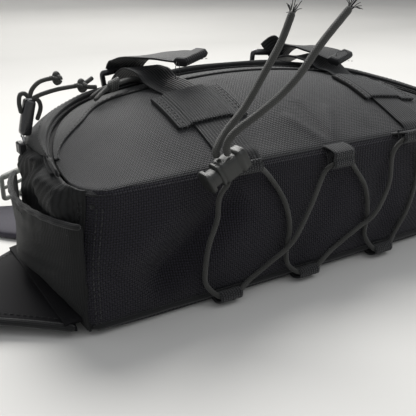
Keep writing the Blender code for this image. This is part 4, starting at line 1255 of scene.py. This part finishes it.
def make_belt(side):
    """Wing: a flat superellipse carried outwards, its width falling. Belt: webbing round the buckle's bar."""
    name = "left" if side < 0 else "right"
    body = f"belt_{name}"
    t = np.linspace(0, 1, 60)
    path = np.stack([side * (WING_ROOT + WING_LENGTH * t), 0 * t, 0.0055 + 0.0040 * t], axis=1)
    half = wing_half(t)
    thick = 0.0034 * (1 + 0.10 * np.sin(PI * t)) * np.clip(np.minimum(t, 1 - t) / 0.03, 0.45, 1) ** 0.4
    profile = squarish(1.0, 1.0, 0.5, 48)
    section = profile[None] * np.stack([half, thick], axis=1)[:, None]
    wing = carried(f"wing_pad_{name}", path, section, (0, 1, 0))
    give(wing, "pad", body, "spacer_mesh", f"wing_{name}")
    edges = [path + np.stack([0 * t, sign * (half - 0.0006), 0 * t + 0.0004], axis=1) for sign in (-1, 1)]
    tapes = [rope("edge", edge[1:-1], 0.0022, 58, (0, 0, 1), 10, smooth=False) for edge in edges]
    give(join(f"wing_binding_{name}", *tapes), "binding", body, "webbing")
    for k, edge in enumerate(edges):
        inner = edge + np.stack([0 * t, np.sign(-edge[:, 1]) * 0.0040, 0 * t + 0.0030], axis=1)
        stitches(f"wing_stitches_{name}_{k}", inner[3:-3], (0, 0, 1), body)

    x = np.linspace(0.1455, 0.1610, 24)[:, None]
    y = np.linspace(-0.0535, 0.0535, 60)[None, :] * side
    z = 0.0098 + 0.0010 * np.sin(PI * (x - 0.1455) / 0.0155) + 0 * y
    strip = np.stack(np.broadcast_arrays(side * x, y, z), axis=-1)
    strip = panel(f"wing_hinge_{name}", strip, 0.0030)
    strip.data.materials.append(FINISHES["pad"])
    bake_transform(strip)

    turn = np.radians((100, 60, 20, -20, -60, -100))
    route = [
        (0.1960, 0.0136), (0.2100, 0.0142), (0.2230, 0.0118), (0.2450, 0.0078), (0.2750, 0.0056),
        (0.3000, 0.0066),
    ]
    route += [(0.3130, 0.0096), *zip(BAR_X + LOOP_RADIUS * np.cos(turn), BAR_Z + LOOP_RADIUS * np.sin(turn))]
    route += [(0.3120, 0.0022), (0.3000, 0.0026), (0.2900, 0.0026)]
    path = smooth_route([(side * px, 0.0, pz) for px, pz in route], 170)
    belt = webbing(f"belt_webbing_{name}", path, 0.038, 0.0018, (0, 1, 0))
    give(belt, "webbing", body, "webbing", f"belt_web_{name}")
    for k, px in enumerate((0.2955, 0.3010)):
        line = [(side * px, py, 0.0071) for py in np.linspace(-0.017, 0.017, 12)]
        stitches(f"belt_stitches_{name}_{k}", line, (0, 0, 1), body)


def make_sling():
    """Sling: a padded band, its ring, and webbing on the ground, each carried along its route."""
    pad_route = (
        (-0.0960, 0.0690), (-0.1060, 0.0790), (-0.1270, 0.0900), (-0.1440, 0.1060), (-0.1490, 0.1260),
        (-0.1420, 0.1440),
    )
    path = smooth_route([(x, y, 0.0032) for x, y in pad_route], 80)
    swell = np.sqrt(np.clip(1 - np.abs(np.linspace(-1, 1, 80)) ** 8, 0.08, 1))
    section = squarish(0.0188, 0.0031, 0.5, 40)[None] * np.stack([0.9 + 0.1 * swell, swell], axis=1)[:, None]
    pad = carried("sling_padding", path, section, (0.7, 0.7, 0))
    give(pad, "grey_pad", "pack", "spacer_mesh", "sling_pad")
    route = ((-0.1180, 0.1640), (-0.1000, 0.1730), (-0.0500, 0.1790), (0.0500, 0.1790), (0.1200, 0.1680))
    route += ((0.1480, 0.1380), (0.1400, 0.1040), (0.1150, 0.0790), (0.1060, 0.0640))
    path = smooth_route([(x, y, 0.0016) for x, y in route], 220)
    side = np.cross(unit(np.gradient(path, axis=0)), (0, 0, -1.0))
    give(webbing("sling_webbing", path, 0.025, 0.0016, side), "webbing", "pack", "webbing", "sling_web")
    turn = math.radians(35)
    right = (math.cos(turn), math.sin(turn), 0)
    middle, up = (-0.1285, 0.1560, 0.0172), (0, 0, 1)
    make_ladder("sling_ring", middle, right, up, "light_moulded", "pack", "sling_adjuster", "moulded_nylon")


def make_hard_parts():
    """Buckle halves and the hidden divider keep their CAD shape."""
    for node in ("buckle_socket", "buckle_plug"):
        carry_over(node, "acetal")
    carry_over("divider", "lining")


# ---------------------------------------------------------------- stage
CAMERA_PLACE = (-0.2427, -0.3334, 0.1894)
CAMERA_RIGHT = Vector((0.855, -0.518, 0.0))
CAMERA_UP = Vector((0.195, 0.322, 0.927))
CAMERA_LENS = 54.5


def make_stage():
    """Floor that curves up far behind, with painted shade that darkens it away from the pack, three soft
    lights, and the camera.
    """
    x = np.linspace(-4.0, 4.0, 3)[:, None]
    s = np.linspace(0, 1, 60)[None, :]
    turn = np.clip((s - 0.6) / 0.3, 0, 1) * PI / 2
    y = -3.0 + 5.0 * np.clip(s / 0.6, 0, 1) + 1.2 * np.sin(turn) + 0 * x
    z = 1.2 * (1 - np.cos(turn)) + np.clip((s - 0.9) / 0.1, 0, 1) * 2.0
    grid = np.stack(np.broadcast_arrays(x, y, z), axis=-1)
    floor = make_mesh("floor", grid.reshape(-1, 3), grid_faces(3, 60))
    s = Shader("pale_floor", 0.55, specular=0.3)
    split = s.node("ShaderNodeSeparateXYZ")
    s.put(split.inputs[0], s.node("ShaderNodeTexCoord").outputs["Object"])
    # Painted shade: the floor's colour falls to 0.55 of itself from Y 0.1 to 0.9, for light that falls off
    # away from the lamps.
    far = s.node("ShaderNodeMapRange")
    s.put(far.inputs["Value"], split.outputs[1])
    for socket, value in zip(far.inputs[1:5], (0.1, 0.9, 1.0, 0.55)):
        socket.default_value = value
    shade = s.maths("MULTIPLY", far.outputs[0], s.noise(3.0, 2.0, 0.97, 1.03))
    s.put(s.surface.inputs["Base Color"], s.scaled((0.62, 0.612, 0.59), shade))
    floor.data.materials.append(s.material)

    for name, place, aim, size, power, colour in (
        ("key", (0.36, 1.20, 1.42), (0.0, 0.05, 0.08), 1.6, 54.0, (1.0, 0.99, 0.97)),
        ("back", (0.3, 1.6, 1.9), (0.9, 3.2, 1.0), 1.2, 20.0, (1.0, 0.99, 0.98)),
        ("fill", (0.6, -0.9, 1.5), (0.0, 0.0, 0.05), 1.0, 4.0, (0.97, 0.98, 1.0)),
    ):
        light = bpy.data.lights.new(name, "AREA")
        light.shape = "DISK"
        light.size, light.energy, light.color = size, power, colour
        lamp = bpy.data.objects.new(name, light)
        lamp.location = place
        lamp.rotation_euler = (Vector(aim) - Vector(place)).to_track_quat("-Z", "Y").to_euler()
        bpy.context.scene.collection.objects.link(lamp)

    bpy.context.scene.view_settings.view_transform = "Standard"
    world = bpy.data.worlds.new("studio")
    world.use_nodes = True
    world.node_tree.nodes["Background"].inputs[0].default_value = (0.92, 0.94, 0.97, 1.0)
    world.node_tree.nodes["Background"].inputs[1].default_value = 0.56
    bpy.context.scene.world = world

    lens = bpy.data.cameras.new("camera")
    lens.lens, lens.sensor_width = CAMERA_LENS, 36.0
    lens.clip_start, lens.clip_end = 0.01, 50.0
    camera = bpy.data.objects.new("camera", lens)
    right, up = CAMERA_RIGHT.normalized(), CAMERA_UP.normalized()
    back = right.cross(up).normalized()
    up = back.cross(right)
    camera.matrix_world = Matrix.Translation(CAMERA_PLACE) @ Matrix((right, up, back)).transposed().to_4x4()
    bpy.context.scene.collection.objects.link(camera)
    bpy.context.scene.camera = camera


# ---------------------------------------------------------------- operators
class PACK_OT_stage(bpy.types.Operator):
    """Make the floor, the lights and the camera"""

    bl_idname = "pack.stage"
    bl_label = "Stage"

    def execute(self, context):
        make_stage()
        return {"FINISHED"}


class PACK_OT_finishes(bpy.types.Operator):
    """Make every material"""

    bl_idname = "pack.finishes"
    bl_label = "Finishes"

    def execute(self, context):
        FINISHES.update(make_finishes())
        return {"FINISHED"}


class PACK_OT_lacing(bpy.types.Operator):
    """Make the free cords, the lace, its loops and the cord lock"""

    bl_idname = "pack.lacing"
    bl_label = "Lacing"

    def execute(self, context):
        make_free_ends()
        make_lace()
        make_cord_lock()
        return {"FINISHED"}


class PACK_OT_front(bpy.types.Operator):
    """Make the front pocket, its zip and the gusset above it"""

    bl_idname = "pack.front"
    bl_label = "Front pocket"

    def execute(self, context):
        make_front_pocket()
        make_gusset()
        return {"FINISHED"}


class PACK_OT_walls(bpy.types.Operator):
    """Make the base wall, the ends, the back panel and the far wall"""

    bl_idname = "pack.walls"
    bl_label = "Walls"

    def execute(self, context):
        make_base_wall()
        for side in (-1, 1):
            make_end(side)
        make_back_pad()
        make_far_flap()
        return {"FINISHED"}


class PACK_OT_side_pockets(bpy.types.Operator):
    """Make the gathered side pockets"""

    bl_idname = "pack.side_pockets"
    bl_label = "Side pockets"

    def execute(self, context):
        for side in (-1, 1):
            make_side_pocket(side)
        return {"FINISHED"}


class PACK_OT_straps(bpy.types.Operator):
    """Make the compression straps, their keepers, tails and ladder locks"""

    bl_idname = "pack.straps"
    bl_label = "Compression straps"

    def execute(self, context):
        for side, facts in STRAPS.items():
            make_strap(side, facts)
        make_locks()
        return {"FINISHED"}


class PACK_OT_pulls(bpy.types.Operator):
    """Make the zip pulls"""

    bl_idname = "pack.pulls"
    bl_label = "Zip pulls"

    def execute(self, context):
        make_front_pull()
        make_main_pull()
        return {"FINISHED"}


class PACK_OT_belt(bpy.types.Operator):
    """Make the hip wings, the belt webbing and the buckle"""

    bl_idname = "pack.belt"
    bl_label = "Belt"

    def execute(self, context):
        for side in (-1, 1):
            make_belt(side)
        make_hard_parts()
        return {"FINISHED"}


class PACK_OT_sling(bpy.types.Operator):
    """Make the sling behind the pack"""

    bl_idname = "pack.sling"
    bl_label = "Sling"

    def execute(self, context):
        make_sling()
        return {"FINISHED"}


MAKERS = (
    PACK_OT_stage,
    PACK_OT_finishes,
    PACK_OT_lacing,
    PACK_OT_front,
    PACK_OT_walls,
    PACK_OT_side_pockets,
    PACK_OT_straps,
    PACK_OT_pulls,
    PACK_OT_belt,
    PACK_OT_sling,
)


class PACK_PT_panel(bpy.types.Panel):
    """The pack's sizes, colours and makers"""

    bl_label = "Lumbar pack"
    bl_idname = "PACK_PT_panel"
    bl_space_type = "VIEW_3D"
    bl_region_type = "UI"
    bl_category = "Pack"

    def draw(self, context):
        for group in (context.scene.pack_sizes, context.scene.pack_colours):
            for name in group.__annotations__:
                self.layout.prop(group, name)
        for maker in MAKERS:
            self.layout.operator(maker.bl_idname)


CLASSES = (PackSizes, PackColours, *MAKERS, PACK_PT_panel)


def register():
    for cls in CLASSES:
        bpy.utils.register_class(cls)
    bpy.types.Scene.pack_sizes = PointerProperty(type=PackSizes)
    bpy.types.Scene.pack_colours = PointerProperty(type=PackColours)


def unregister():
    del bpy.types.Scene.pack_colours
    del bpy.types.Scene.pack_sizes
    for cls in reversed(CLASSES):
        bpy.utils.unregister_class(cls)


def main():
    """Register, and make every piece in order."""
    register()
    bpy.ops.pack.stage()
    bpy.ops.pack.finishes()
    bpy.ops.pack.lacing()
    bpy.ops.pack.front()
    bpy.ops.pack.walls()
    bpy.ops.pack.side_pockets()
    bpy.ops.pack.straps()
    bpy.ops.pack.pulls()
    bpy.ops.pack.belt()
    bpy.ops.pack.sling()


if __name__ == "__main__":
    main()
